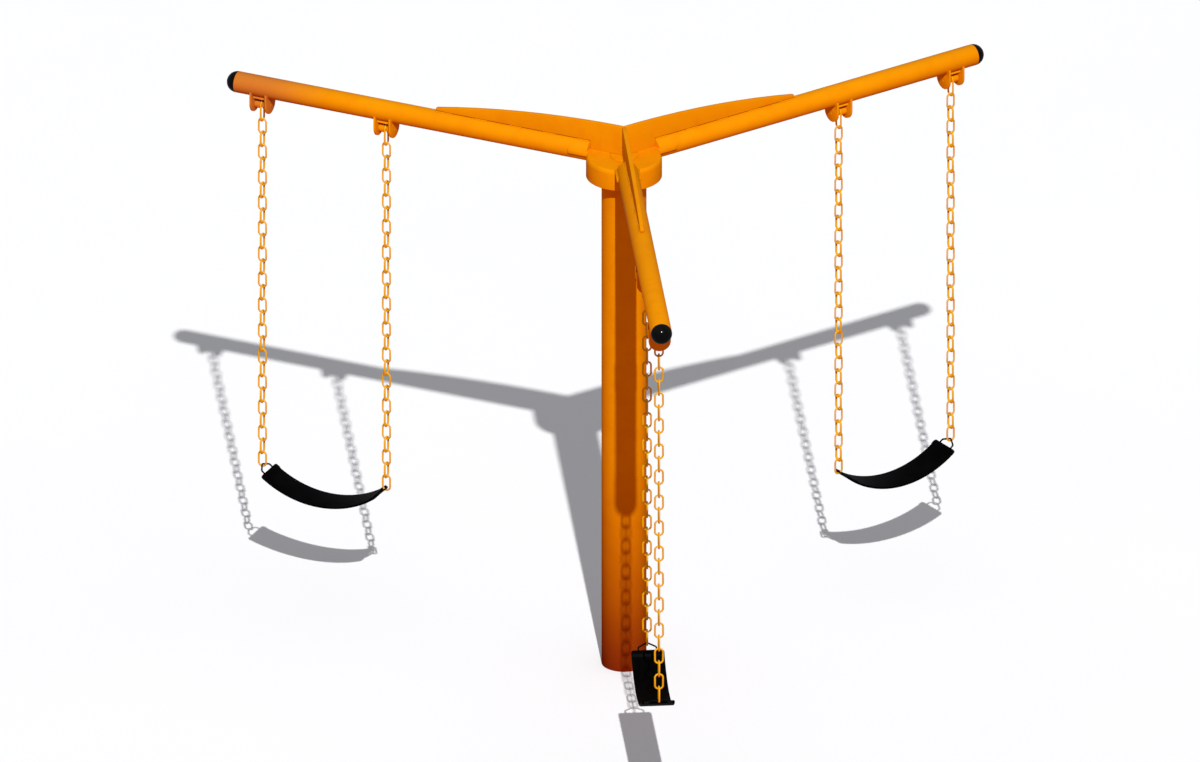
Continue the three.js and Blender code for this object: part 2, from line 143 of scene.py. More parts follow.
class Bench:
    """The workbench: the moves that every piece is modelled with."""

    @staticmethod
    def pick(piece: Piece) -> None:
        """Makes the piece the active one, and the only one selected.

        Args:
            piece: The piece.
        """
        bpy.ops.object.select_all(action="DESELECT")
        piece.select_set(True)
        bpy.context.view_layer.objects.active = piece

    @staticmethod
    def settle(name: str) -> Piece:
        """Names the active piece and puts its place into its mesh.

        Args:
            name: The piece's name.

        Returns:
            The piece, with its object at the origin.
        """
        piece = bpy.context.active_object
        piece.name = name
        piece.data.name = name
        bpy.ops.object.transform_apply(location=True, rotation=True, scale=True)
        return piece

    @classmethod
    def cylinder(
        cls, name: str, radius: float, low: float, high: float, sides: int, axis: Axis
    ) -> Piece:
        """Adds a round bar about an axis through the origin.

        Args:
            name: The piece's name.
            radius: The bar's radius.
            low: Where it starts along the axis.
            high: Where it ends along the axis.
            sides: How many sides it has.
            axis: The direction that it runs in.

        Returns:
            The new bar.
        """
        bpy.ops.object.select_all(action="DESELECT")
        bpy.ops.mesh.primitive_cylinder_add(
            vertices=sides,
            radius=radius,
            depth=high - low,
            location=axis.point((low + high) / 2),
            rotation=axis.value,
        )
        return cls.settle(name)

    @classmethod
    def block(cls, name: str, low: Point, high: Point) -> Piece:
        """Adds a block between two corners.

        Args:
            name: The piece's name.
            low: Its lowest corner.
            high: Its highest corner.

        Returns:
            The new block.
        """
        bpy.ops.object.select_all(action="DESELECT")
        bpy.ops.mesh.primitive_cube_add(
            size=1,
            location=[(a + b) / 2 for a, b in zip(low, high)],
            scale=[b - a for a, b in zip(low, high)],
        )
        return cls.settle(name)

    @classmethod
    def wire(
        cls,
        name: str,
        points: Sequence[Point],
        radius: float,
        closed: bool = False,
        swell: Sequence[float] = (1.0,),
        sides: int = 3,
    ) -> Piece:
        """Bends a round wire along a line of points.

        Args:
            name: The piece's name.
            points: The points that its middle passes through.
            radius: The wire's radius.
            closed: Whether its two ends meet.
            swell: Shares of the radius that the points take in turn.
            sides: The roundness of its section, as a bevel resolution.

        Returns:
            The wire as a mesh.
        """
        bpy.ops.object.select_all(action="DESELECT")
        bpy.ops.curve.primitive_nurbs_path_add()
        curve = bpy.context.active_object.data
        curve.splines.clear()
        line = curve.splines.new("POLY")
        line.points.add(len(points) - 1)
        for index, (spot, point) in enumerate(zip(line.points, points)):
            spot.co = (*point, 1.0)
            spot.radius = swell[index % len(swell)]
        line.use_cyclic_u = closed
        curve.dimensions = "3D"
        curve.bevel_depth = radius
        curve.bevel_resolution = sides
        curve.use_fill_caps = not closed
        bpy.ops.object.convert(target="MESH")
        piece = cls.settle(name)
        cls.close(piece)
        return piece

    @classmethod
    def close(cls, piece: Piece, within: float = 1e-5) -> None:
        """Merges doubled points and turns all faces outwards.

        Args:
            piece: The piece to mend.
            within: How near two points are that become one.
        """
        cls.pick(piece)
        bpy.ops.object.mode_set(mode="EDIT")
        bpy.ops.mesh.select_all(action="SELECT")
        bpy.ops.mesh.remove_doubles(threshold=within)
        bpy.ops.mesh.normals_make_consistent(inside=False)
        bpy.ops.object.mode_set(mode="OBJECT")

    @classmethod
    def select(cls, piece: Piece, element: Element, test: Test) -> None:
        """Selects elements by their middle and direction, and goes into edit mode.

        Args:
            piece: The piece to edit.
            element: The kind of element.
            test: Says of a middle and a normal, or an edge's direction, if it counts.
        """
        cls.pick(piece)
        bpy.ops.object.mode_set(mode="EDIT")
        bpy.ops.mesh.select_mode(type=element.value)
        bpy.ops.mesh.select_all(action="DESELECT")
        bpy.ops.object.mode_set(mode="OBJECT")
        mesh = piece.data
        if element is Element.VERTEX:
            for vertex in mesh.vertices:
                vertex.select = test(vertex.co, vertex.normal)
        elif element is Element.EDGE:
            for edge in mesh.edges:
                start, end = (mesh.vertices[i].co for i in edge.vertices)
                edge.select = test((start + end) / 2, (end - start).normalized())
        else:
            for face in mesh.polygons:
                face.select = test(face.center, face.normal)
        bpy.ops.object.mode_set(mode="EDIT")

    @staticmethod
    def done() -> None:
        """Leaves edit mode."""
        bpy.ops.object.mode_set(mode="OBJECT")

    @classmethod
    def shift(cls, piece: Piece, test: Test, by: Point) -> None:
        """Moves the points that pass the test.

        Args:
            piece: The piece to edit.
            test: Says of a point and its normal whether it moves.
            by: How far it moves.
        """
        cls.select(piece, Element.VERTEX, test)
        bpy.ops.transform.translate(value=by)
        cls.done()

    @classmethod
    def scale(cls, piece: Piece, test: Test, by: Point, about: Point) -> None:
        """Scales the points that pass the test about a centre.

        Args:
            piece: The piece to edit.
            test: Says of a point and its normal whether it is scaled.
            by: The scale along X, Y and Z.
            about: The centre of the scaling.
        """
        cls.select(piece, Element.VERTEX, test)
        bpy.ops.transform.resize(value=by, center_override=about)
        cls.done()

    @classmethod
    def push(cls, piece: Piece, test: Test, by: Point, inset: float = 0.0) -> None:
        """Insets the faces that pass the test, then extrudes them.

        Args:
            piece: The piece to edit.
            test: Says of a face's centre and normal whether it is pushed.
            by: How far the faces go.
            inset: How far they are inset first.
        """
        cls.select(piece, Element.FACE, test)
        if inset:
            bpy.ops.mesh.inset(thickness=inset)
        bpy.ops.mesh.extrude_region_move(TRANSFORM_OT_translate={"value": by})
        cls.done()

    @classmethod
    def round_edges(
        cls, piece: Piece, test: Test, by: float, segments: int = 3
    ) -> None:
        """Rounds the edges that pass the test.

        Args:
            piece: The piece to edit.
            test: Says of an edge's middle and direction whether it is rounded.
            by: How far the round reaches.
            segments: How many facets it has.
        """
        cls.select(piece, Element.EDGE, test)
        bpy.ops.mesh.bevel(offset=by, segments=segments, affect="EDGES")
        cls.done()

    @classmethod
    def cut(cls, piece: Piece, at: Point, across: Point) -> None:
        """Cuts new edges into a piece where a plane crosses it.

        Args:
            piece: The piece to edit.
            at: A point on the plane.
            across: The plane's normal.
        """
        cls.select(piece, Element.FACE, everywhere)
        bpy.ops.mesh.bisect(plane_co=at, plane_no=across)
        cls.done()

    @classmethod
    def carve(cls, piece: Piece, tool: Piece) -> None:
        """Cuts a tool's shape out of a piece and removes the tool.

        Args:
            piece: The piece to cut.
            tool: The shape that is taken away.
        """
        cls.pick(piece)
        cutter = piece.modifiers.new("cut", "BOOLEAN")
        cutter.operation = "DIFFERENCE"
        cutter.object = tool
        bpy.ops.object.modifier_apply(modifier=cutter.name)
        cls.discard(tool)

    @classmethod
    def soften(cls, piece: Piece, width: float, segments: int = 2) -> None:
        """Rounds every sharp edge of a piece.

        Args:
            piece: The piece to round.
            width: How far the rounding reaches.
            segments: How many facets it has.
        """
        cls.pick(piece)
        edge = piece.modifiers.new("edge", "BEVEL")
        edge.width = width
        edge.segments = segments
        edge.limit_method = "ANGLE"
        edge.angle_limit = math.radians(35)
        bpy.ops.object.modifier_apply(modifier=edge.name)

    @classmethod
    def finish(
        cls, piece: Piece, material: Material, angle: float = 35.0
    ) -> Piece:
        """Smooths a piece's shading and gives it its material.

        Args:
            piece: The piece.
            material: Its only material.
            angle: The sharpest fold in degrees that still shades smooth.

        Returns:
            The same piece.
        """
        cls.pick(piece)
        bpy.ops.object.shade_smooth_by_angle(angle=math.radians(angle))
        piece.data.materials.clear()
        piece.data.materials.append(material)
        return piece

    @classmethod
    def copy(cls, model: Piece, name: str, place: Matrix) -> Piece:
        """Copies a piece, with its own mesh, to a place.

        Args:
            model: The piece to copy.
            name: The copy's name.
            place: Where the copy goes.

        Returns:
            The copy.
        """
        cls.pick(model)
        bpy.ops.object.duplicate(linked=False)
        bpy.context.active_object.matrix_world = place
        return cls.settle(name)

    @classmethod
    def join(cls, pieces: Sequence[Piece], name: str) -> Piece:
        """Joins pieces into the first of them.

        Args:
            pieces: The pieces to join.
            name: The joined piece's name.

        Returns:
            The joined piece.
        """
        cls.pick(pieces[0])
        for piece in pieces:
            piece.select_set(True)
        bpy.ops.object.join()
        return cls.settle(name)

    @staticmethod
    def discard(piece: Piece) -> None:
        """Removes a model or tool that is no longer needed."""
        bpy.data.objects.remove(piece, do_unlink=True)

    @staticmethod
    def mount(piece: Piece, body: str, slot: str, *nodes: str) -> None:
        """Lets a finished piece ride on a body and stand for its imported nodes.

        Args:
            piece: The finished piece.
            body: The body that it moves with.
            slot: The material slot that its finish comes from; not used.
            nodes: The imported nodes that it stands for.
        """
        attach(piece, body)
        if nodes:
            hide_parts(*nodes)
        LOG.info("%s rides on %s: %d faces", piece.name, body, len(piece.data.polygons))

    @classmethod
    def place(
        cls, model: Piece, name: str, where: Matrix, body: str, slot: str, *nodes: str
    ) -> None:
        """Copies a model to a place and mounts the copy.

        Args:
            model: The piece to copy.
            name: The copy's name.
            where: Where the copy goes.
            body: The body that it moves with.
            slot: The material slot that its finish comes from.
            nodes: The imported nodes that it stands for.
        """
        cls.mount(cls.copy(model, name, where), body, slot, *nodes)


@dataclass
class Repeated:
    """What the sub-assemblies share whose pieces are modelled once and copied."""

    models: dict[str, Piece] = field(default_factory=dict)

    def clear(self) -> None:
        """Removes the models after the last copy."""
        for model in self.models.values():
            Bench.discard(model)


class Mixer:
    """A node tree being put together."""

    def __init__(self, tree: Tree) -> None:
        """Takes the tree to add nodes to."""
        self.tree = tree

    def add(self, kind: str, **settings: object) -> Node:
        """Adds a node and sets its options.

        Args:
            kind: The node's type.
            settings: Its options by name.

        Returns:
            The new node.
        """
        node = self.tree.nodes.new(kind)
        for name, value in settings.items():
            setattr(node, name, value)
        return node

    def link(self, source: Socket, target: Socket) -> None:
        """Joins two sockets."""
        self.tree.links.new(source, target)

    def feed(self, target: Socket, value: object) -> None:
        """Links a socket, or sets the target to a plain value.

        Args:
            target: The socket that is fed.
            value: A socket or a plain value.
        """
        if isinstance(value, Socket):
            self.link(value, target)
        else:
            target.default_value = value

    def math(self, operation: str, first: object, second: object, clamp: bool = False) -> Socket:
        """Adds a sum.

        Args:
            operation: The kind of sum.
            first: A socket or a number.
            second: A socket or a number.
            clamp: Whether the result is held between 0 and 1.

        Returns:
            The result.
        """
        node = self.add("ShaderNodeMath", operation=operation, use_clamp=clamp)
        self.feed(node.inputs[0], first)
        self.feed(node.inputs[1], second)
        return node.outputs[0]

    def ramp(
        self, value: object, low: object, high: object, start: float = 0.0, end: float = 1.0
    ) -> Socket:
        """Maps a value smoothly from one range to another.

        Args:
            value: The socket to map.
            low: The value that becomes start.
            high: The value that becomes end.
            start: The result at low.
            end: The result at high.

        Returns:
            The mapped value.
        """
        node = self.add("ShaderNodeMapRange", interpolation_type="SMOOTHSTEP")
        for socket, given in zip(node.inputs, (value, low, high, start, end)):
            self.feed(socket, given)
        return node.outputs["Result"]

    def blend(self, share: object, under: object, over: object) -> Socket:
        """Mixes two colours.

        Args:
            share: How much of the second colour shows.
            under: A colour or a socket.
            over: A colour or a socket.

        Returns:
            The mixed colour.
        """
        node = self.add("ShaderNodeMix", data_type="RGBA")
        self.feed(node.inputs["Factor"], share)
        for name, value in (("A", under), ("B", over)):
            socket = next(s for s in node.inputs if s.name == name and s.type == "RGBA")
            self.feed(socket, (*value, 1.0) if isinstance(value, tuple) else value)
        return next(s for s in node.outputs if s.type == "RGBA")

    def noise(self, vector: object, scale: object, detail: float = 3.0) -> Socket:
        """Adds a cloud pattern.

        Args:
            vector: Where the pattern is read.
            scale: How many clouds there are to a metre.
            detail: How fine its smallest parts are.

        Returns:
            The pattern's value.
        """
        node = self.add("ShaderNodeTexNoise")
        self.feed(node.inputs["Vector"], vector)
        self.feed(node.inputs["Scale"], scale)
        node.inputs["Detail"].default_value = detail
        return node.outputs["Fac"]

    def lift(self, effect: Node, reach: float, least: object) -> Socket:
        """Adds a share of an effect's mask to a value.

        Args:
            effect: The effect's node.
            reach: How much is added where the mask is full.
            least: A socket or a number that it is added to.

        Returns:
            The sum.
        """
        total = self.math("MULTIPLY_ADD", effect.outputs["Mask"], reach)
        self.feed(total.node.inputs[2], least)
        return total

    def stain(self, effect: Node, under: object, over: Colour, share: float = 1.0) -> Socket:
        """Lays a colour over another where an effect's mask shows.

        Args:
            effect: The effect's node.
            under: A colour or a socket.
            over: The colour that is laid on.
            share: How much of it shows where the mask is full.

        Returns:
            The mixed colour.
        """
        return self.blend(self.math("MULTIPLY", effect.outputs["Mask"], share), under, over)

    def effect(self, group: Tree, **values: object) -> Node:
        """Places a shared group.

        Args:
            group: The group.
            values: What each of its inputs takes.

        Returns:
            The group's node.
        """
        node = self.add("ShaderNodeGroup", node_tree=group)
        for name, value in values.items():
            self.feed(node.inputs[name.replace("_", " ")], value)
        return node


class SharedEffects:
    """The effects that more than one finish is mixed from, each built once."""

    def __init__(self) -> None:
        """Builds all of the effects."""
        self.grain = self._grain()
        self.drift = self._drift()
        self.edge_wear = self._edge_wear()
        self.dust = self._dust()

    @staticmethod
    def _begin(
        name: str, inputs: Sequence[str], outputs: Sequence[str]
    ) -> tuple[Mixer, Node, Node]:
        """Starts a group.

        Args:
            name: The group's name.
            inputs: Its number inputs, beside the vector that every group takes.
            outputs: Its number outputs.

        Returns:
            A mixer for the group, and its input and output nodes.
        """
        tree = bpy.data.node_groups.new(name, "ShaderNodeTree")
        tree.interface.new_socket("Vector", in_out="INPUT", socket_type="NodeSocketVector")
        for title in inputs:
            tree.interface.new_socket(title, in_out="INPUT", socket_type="NodeSocketFloat")
        for title in outputs:
            tree.interface.new_socket(title, in_out="OUTPUT", socket_type="NodeSocketFloat")
        mixer = Mixer(tree)
        return mixer, mixer.add("NodeGroupInput"), mixer.add("NodeGroupOutput")

    def _grain(self) -> Tree:
        """Builds a fine pebbled grain with a broader swell under it.

        Returns:
            The group.
        """
        mixer, given, out = self._begin("FineGrain", ("Scale", "Swell"), ("Height", "Mask"))
        fine = mixer.noise(given.outputs["Vector"], given.outputs["Scale"], 4.0)
        broad = mixer.noise(
            given.outputs["Vector"], mixer.math("MULTIPLY", given.outputs["Scale"], 0.12), 2.0
        )
        swell = mixer.math("MULTIPLY", broad, given.outputs["Swell"])
        mixer.link(mixer.math("ADD", fine, swell), out.inputs["Height"])
        mixer.link(mixer.ramp(fine, 0.35, 0.68), out.inputs["Mask"])
        return mixer.tree

    def _drift(self) -> Tree:
        """Builds a slow drift of tone over large surfaces.

        Returns:
            The group.
        """
        mixer, given, out = self._begin("ToneDrift", ("Scale", "Low", "High"), ("Mask",))
        cloud = mixer.noise(given.outputs["Vector"], given.outputs["Scale"], 5.0)
        mask = mixer.ramp(cloud, given.outputs["Low"], given.outputs["High"])
        mixer.link(mask, out.inputs["Mask"])
        return mixer.tree

    def _edge_wear(self) -> Tree:
        """Builds broken rubbing along edges, found where the rounded normal turns.

        Returns:
            The group.
        """
        mixer, given, out = self._begin("EdgeWear", ("Radius", "Scale", "Amount"), ("Mask",))
        bevel = mixer.add("ShaderNodeBevel", samples=6)
        mixer.link(given.outputs["Radius"], bevel.inputs["Radius"])
        surface = mixer.add("ShaderNodeNewGeometry")
        fold = mixer.add("ShaderNodeVectorMath", operation="DOT_PRODUCT")
        mixer.link(bevel.outputs["Normal"], fold.inputs[0])
        mixer.link(surface.outputs["Normal"], fold.inputs[1])
        turn = mixer.math("SUBTRACT", 1.0, fold.outputs["Value"])
        cloud = mixer.noise(given.outputs["Vector"], given.outputs["Scale"], 4.0)
        broken = mixer.math("MULTIPLY", mixer.ramp(turn, 0.04, 0.3), mixer.ramp(cloud, 0.42, 0.66))
        worn = mixer.math("MULTIPLY", broken, given.outputs["Amount"], True)
        mixer.link(worn, out.inputs["Mask"])
        return mixer.tree

    def _dust(self) -> Tree:
        """Builds dust that settles, patchily, on what faces up.

        Returns:
            The group.
        """
        mixer, given, out = self._begin("SettledDust", ("Scale", "Amount"), ("Mask",))
        surface = mixer.add("ShaderNodeNewGeometry")
        split = mixer.add("ShaderNodeSeparateXYZ")
        mixer.link(surface.outputs["Normal"], split.inputs[0])
        up = mixer.ramp(split.outputs["Z"], 0.1, 0.95)
        cloud = mixer.noise(given.outputs["Vector"], given.outputs["Scale"], 6.0)
        both = mixer.math("MULTIPLY", up, mixer.ramp(cloud, 0.3, 0.75))
        mixer.link(mixer.math("MULTIPLY", both, given.outputs["Amount"], True), out.inputs["Mask"])
        return mixer.tree


class Finish:
    """What every finish shares: a new material and its main shader."""

    @staticmethod
    def begin(name: str) -> tuple[Material, Mixer, Node, Socket]:
        """Starts a material.

        Args:
            name: The material's name.

        Returns:
            The material, a mixer for it, its shader and its object coordinates.
        """
        material = bpy.data.materials.new(name)
        material.use_nodes = True
        mixer = Mixer(material.node_tree)
        shader = material.node_tree.nodes["Principled BSDF"]
        place = mixer.add("ShaderNodeTexCoord").outputs["Object"]
        return material, mixer, shader, place

    @staticmethod
    def bump(mixer: Mixer, shader: Node, height: object, strength: float, depth: float) -> None:
        """Raises the surface's shading by a height pattern.

        Args:
            mixer: The material's mixer.
            shader: Its shader.
            height: The pattern.
            strength: How strongly the pattern shows.
            depth: Its depth in metres.
        """
        node = mixer.add("ShaderNodeBump")
        node.inputs["Strength"].default_value = strength
        node.inputs["Distance"].default_value = depth
        mixer.feed(node.inputs["Height"], height)
        mixer.link(node.outputs["Normal"], shader.inputs["Normal"])


@dataclass(frozen=True)
class PowderCoat(Finish):
    """Orange powder coat: pebbled, faded and rubbed at its edges, with painted shade that darkens
    it towards the ground and at the left arm's outer end.
    """

    main: Colour = (0.66, 0.222, 0.0006)
    faded: Colour = (0.70, 0.245, 0.0008)
    deep: Colour = (0.62, 0.176, 0.0006)
    primer: Colour = (0.34, 0.10, 0.02)
    dust: Colour = (0.50, 0.23, 0.012)
    # Painted shade: these two colours and the top height darken and redden the paint towards the
    # ground.
    ground_shade_red: Colour = (0.30, 0.015, 0.0)
    soil: Colour = (0.030, 0.006, 0.005)
    soil_top: float = 1.30
    # Painted shade: a duller, darker patch at the left arm's outer end, set by the next colour and
    # numbers.
    left_end_shade: Colour = (0.50, 0.145, 0.022)
    left_end_shade_at: float = 1.80
    left_end_shade_above: float = 0.05
    left_end_shade_core: float = 0.14
    left_end_shade_reach: float = 0.48
    # Painted shade: how quickly the darkening towards the ground deepens.
    soil_curve: float = 1.55
    roughness: float = 0.42
    gloss: float = 0.012

    def material(self, shared: SharedEffects) -> Material:
        """Mixes the paint of the post, hub, arms and hangers.

        Args:
            shared: The shared effects.

        Returns:
            The material.
        """
        material, mixer, shader, place = self.begin("orange_powder_coat")
        grain = mixer.effect(shared.grain, Vector=place, Scale=900.0, Swell=0.8)
        fade = mixer.effect(shared.drift, Vector=place, Scale=2.3, Low=0.35, High=0.72)
        mottle = mixer.effect(shared.drift, Vector=place, Scale=17.0, Low=0.4, High=0.8)
        wear = mixer.effect(shared.edge_wear, Vector=place, Radius=0.003, Scale=55.0, Amount=0.55)
        dust = mixer.effect(shared.dust, Vector=place, Scale=9.0, Amount=0.06)
        colour = mixer.stain(fade, self.main, self.faded)
        colour = mixer.stain(mottle, colour, self.deep, 0.45)
        # Painted shade: the duller, darker patch at the left arm's outer end.
        colour = mixer.blend(self._bleach(mixer, place), colour, self.left_end_shade)
        colour = mixer.stain(wear, colour, self.primer)
        colour = mixer.stain(dust, colour, self.dust)
        # Painted shade: the paint turns redder, then darker, towards the ground.
        ground_shade = self._soiled(mixer, place)
        colour = mixer.blend(ground_shade, colour, self.ground_shade_red)
        deepest_ground_shade = mixer.math("MULTIPLY", mixer.math("POWER", ground_shade, 2.0), 0.6)
        mixer.link(mixer.blend(deepest_ground_shade, colour, self.soil), shader.inputs["Base Color"])
        rough = mixer.lift(wear, 0.25, mixer.lift(grain, 0.10, self.roughness))
        rough = mixer.math("ADD", rough, mixer.math("MULTIPLY", ground_shade, 0.3), True)
        mixer.link(rough, shader.inputs["Roughness"])
        shader.inputs["Specular IOR Level"].default_value = self.gloss
        self.bump(mixer, shader, grain.outputs["Height"], 0.16, 0.0004)
        return material

    def _bleach(self, mixer: Mixer, place: Socket) -> Socket:
        """Masks the painted shade that dulls and darkens the paint at the left arm's outer end.

        Args:
            mixer: The material's mixer.
            place: The object coordinates.

        Returns:
            The mask.
        """
        away = mixer.add("ShaderNodeVectorMath", operation="DISTANCE")
        mixer.link(place, away.inputs[0])
        above = Vector((self.left_end_shade_at, 0.0, ARM_AXIS + self.left_end_shade_above))
        away.inputs[1].default_value = Arm.LEFT.turn @ above
        ragged = mixer.math("MULTIPLY", mixer.noise(place, 5.0, 4.0), 0.1)
        distance = mixer.math("ADD", away.outputs["Value"], ragged)
        return mixer.ramp(distance, self.left_end_shade_core, self.left_end_shade_reach, 0.9, 0.0)

    def _soiled(self, mixer: Mixer, place: Socket) -> Socket:
        """Masks the painted shade that darkens and reddens the paint towards the ground; it fades
        out by its top height.

        Args:
            mixer: The material's mixer.
            place: The object coordinates.

        Returns:
            The mask.
        """
        split = mixer.add("ShaderNodeSeparateXYZ")
        mixer.link(place, split.inputs[0])
        ragged = mixer.noise(place, 6.0, 6.0)
        height = mixer.math("ADD", split.outputs["Z"], mixer.math("MULTIPLY", ragged, 0.12))
        share = mixer.math("SUBTRACT", 1.0, mixer.math("DIVIDE", height, self.soil_top), True)
        return mixer.math("POWER", share, self.soil_curve, True)


@dataclass(frozen=True)
class ChainCoat(Finish):
    """Orange dipped coating on chain, rubbed through to steel where links bear on each other."""

    main: Colour = (0.70, 0.35, 0.004)
    deep: Colour = (0.58, 0.26, 0.003)
    steel: Colour = (0.30, 0.22, 0.13)
    roughness: float = 0.4
    gloss: float = 0.12

    def material(self, shared: SharedEffects) -> Material:
        """Mixes the coating of the chains and their end links.

        Args:
            shared: The shared effects.

        Returns:
            The material.
        """
        material, mixer, shader, place = self.begin("orange_chain_coat")
        grain = mixer.effect(shared.grain, Vector=place, Scale=700.0, Swell=0.5)
        drift = mixer.effect(shared.drift, Vector=place, Scale=26.0, Low=0.4, High=0.75)
        rubbed = mixer.effect(shared.drift, Vector=place, Scale=130.0, Low=0.63, High=0.74)
        colour = mixer.stain(drift, self.main, self.deep, 0.6)
        mixer.link(mixer.stain(rubbed, colour, self.steel, 0.45), shader.inputs["Base Color"])
        mixer.link(mixer.math("MULTIPLY", rubbed.outputs["Mask"], 0.2), shader.inputs["Metallic"])
        mixer.link(mixer.lift(grain, 0.14, self.roughness), shader.inputs["Roughness"])
        shader.inputs["Specular IOR Level"].default_value = self.gloss
        self.bump(mixer, shader, grain.outputs["Height"], 0.2, 0.0003)
        return material


@dataclass(frozen=True)
class GlossPlastic(Finish):
    """Glossy black moulded plastic with hairline scuffs."""

    main: Colour = (0.002, 0.0021, 0.0022)
    scuffed: Colour = (0.012, 0.012, 0.013)
    dusty: Colour = (0.10, 0.095, 0.088)
    roughness: float = 0.12
    gloss: float = 0.14

    def material(self, shared: SharedEffects) -> Material:
        """Mixes the plastic of the arm end caps.

        Args:
            shared: The shared effects.

        Returns:
            The material.
        """
        material, mixer, shader, place = self.begin("black_gloss_plastic")
        grain = mixer.effect(shared.grain, Vector=place, Scale=420.0, Swell=0.6)
        scuffs = mixer.effect(shared.drift, Vector=place, Scale=70.0, Low=0.58, High=0.78)
        wear = mixer.effect(shared.edge_wear, Vector=place, Radius=0.002, Scale=90.0, Amount=0.4)
        dust = mixer.effect(shared.dust, Vector=place, Scale=30.0, Amount=0.03)
        colour = mixer.stain(scuffs, self.main, self.scuffed, 0.35)
        colour = mixer.stain(wear, colour, self.scuffed)
        mixer.link(mixer.stain(dust, colour, self.dusty), shader.inputs["Base Color"])
        mixer.link(mixer.lift(scuffs, 0.22, self.roughness), shader.inputs["Roughness"])
        shader.inputs["Specular IOR Level"].default_value = self.gloss
        self.bump(mixer, shader, grain.outputs["Height"], 0.06, 0.0002)
        return material


@dataclass(frozen=True)
class BeltRubber(Finish):
    """Thick black rubber: fine grain, dull sheen, a little greyer where dusty or rubbed."""

    main: Colour = (0.0005, 0.0005, 0.0005)
    rubbed: Colour = (0.0018, 0.0018, 0.0019)
    dusty: Colour = (0.010, 0.0098, 0.009)
    roughness: float = 0.36
    gloss: float = 0.018

    def material(self, shared: SharedEffects) -> Material:
        """Mixes the rubber of the belt seats.

        Args:
            shared: The shared effects.

        Returns:
            The material.
        """
        material, mixer, shader, place = self.begin("black_belt_rubber")
        grain = mixer.effect(shared.grain, Vector=place, Scale=520.0, Swell=0.6)
        drift = mixer.effect(shared.drift, Vector=place, Scale=14.0, Low=0.4, High=0.75)
        wear = mixer.effect(shared.edge_wear, Vector=place, Radius=0.004, Scale=60.0, Amount=0.8)
        dust = mixer.effect(shared.dust, Vector=place, Scale=22.0, Amount=0.06)
        colour = mixer.stain(drift, self.main, self.rubbed, 0.5)
        colour = mixer.stain(wear, colour, self.rubbed)
        mixer.link(mixer.stain(dust, colour, self.dusty), shader.inputs["Base Color"])
        mixer.link(mixer.lift(grain, 0.18, self.roughness), shader.inputs["Roughness"])
        shader.inputs["Specular IOR Level"].default_value = self.gloss
        self.bump(mixer, shader, grain.outputs["Height"], 0.35, 0.0006)
        return material


@dataclass(frozen=True)
class RingCoat(Finish):
    """Black coated steel, rubbed a little brighter here and there."""

    main: Colour = (0.0015, 0.0015, 0.0016)
    bright: Colour = (0.06, 0.06, 0.06)
    roughness: float = 0.35
    gloss: float = 0.06

    def material(self, shared: SharedEffects) -> Material:
        """Mixes the coating of the seat rings.

        Args:
            shared: The shared effects.

        Returns:
            The material.
        """
        material, mixer, shader, place = self.begin("black_ring_coat")
        grain = mixer.effect(shared.grain, Vector=place, Scale=800.0, Swell=0.5)
        rubbed = mixer.effect(shared.drift, Vector=place, Scale=110.0, Low=0.62, High=0.76)
        share = mixer.math("MULTIPLY", rubbed.outputs["Mask"], 0.3)
        mixer.link(mixer.blend(share, self.main, self.bright), shader.inputs["Base Color"])
        mixer.link(share, shader.inputs["Metallic"])
        mixer.link(mixer.lift(grain, 0.2, self.roughness), shader.inputs["Roughness"])
        shader.inputs["Specular IOR Level"].default_value = self.gloss
        self.bump(mixer, shader, grain.outputs["Height"], 0.2, 0.0002)
        return material


@dataclass(frozen=True)
class StudioFloor(Finish):
    """Pale matt floor."""

    main: Colour = (0.84, 0.84, 0.84)
    faint: Colour = (0.83, 0.83, 0.83)

    def material(self, shared: SharedEffects) -> Material:
        """Mixes the surface of the studio floor.

        Args:
            shared: The shared effects.

        Returns:
            The material.
        """
        material, mixer, shader, place = self.begin("pale_studio_floor")
        cloud = mixer.effect(shared.drift, Vector=place, Scale=0.4, Low=0.3, High=0.7)
        mixer.link(mixer.stain(cloud, self.main, self.faint), shader.inputs["Base Color"])
        shader.inputs["Roughness"].default_value = 0.9
        shader.inputs["Specular IOR Level"].default_value = 0.0
        return material


@dataclass(frozen=True)
class Palette:
    """The materials that the sub-assemblies are dressed with."""

    paint: Material
    chain: Material
    cap: Material
    rubber: Material
    ring: Material


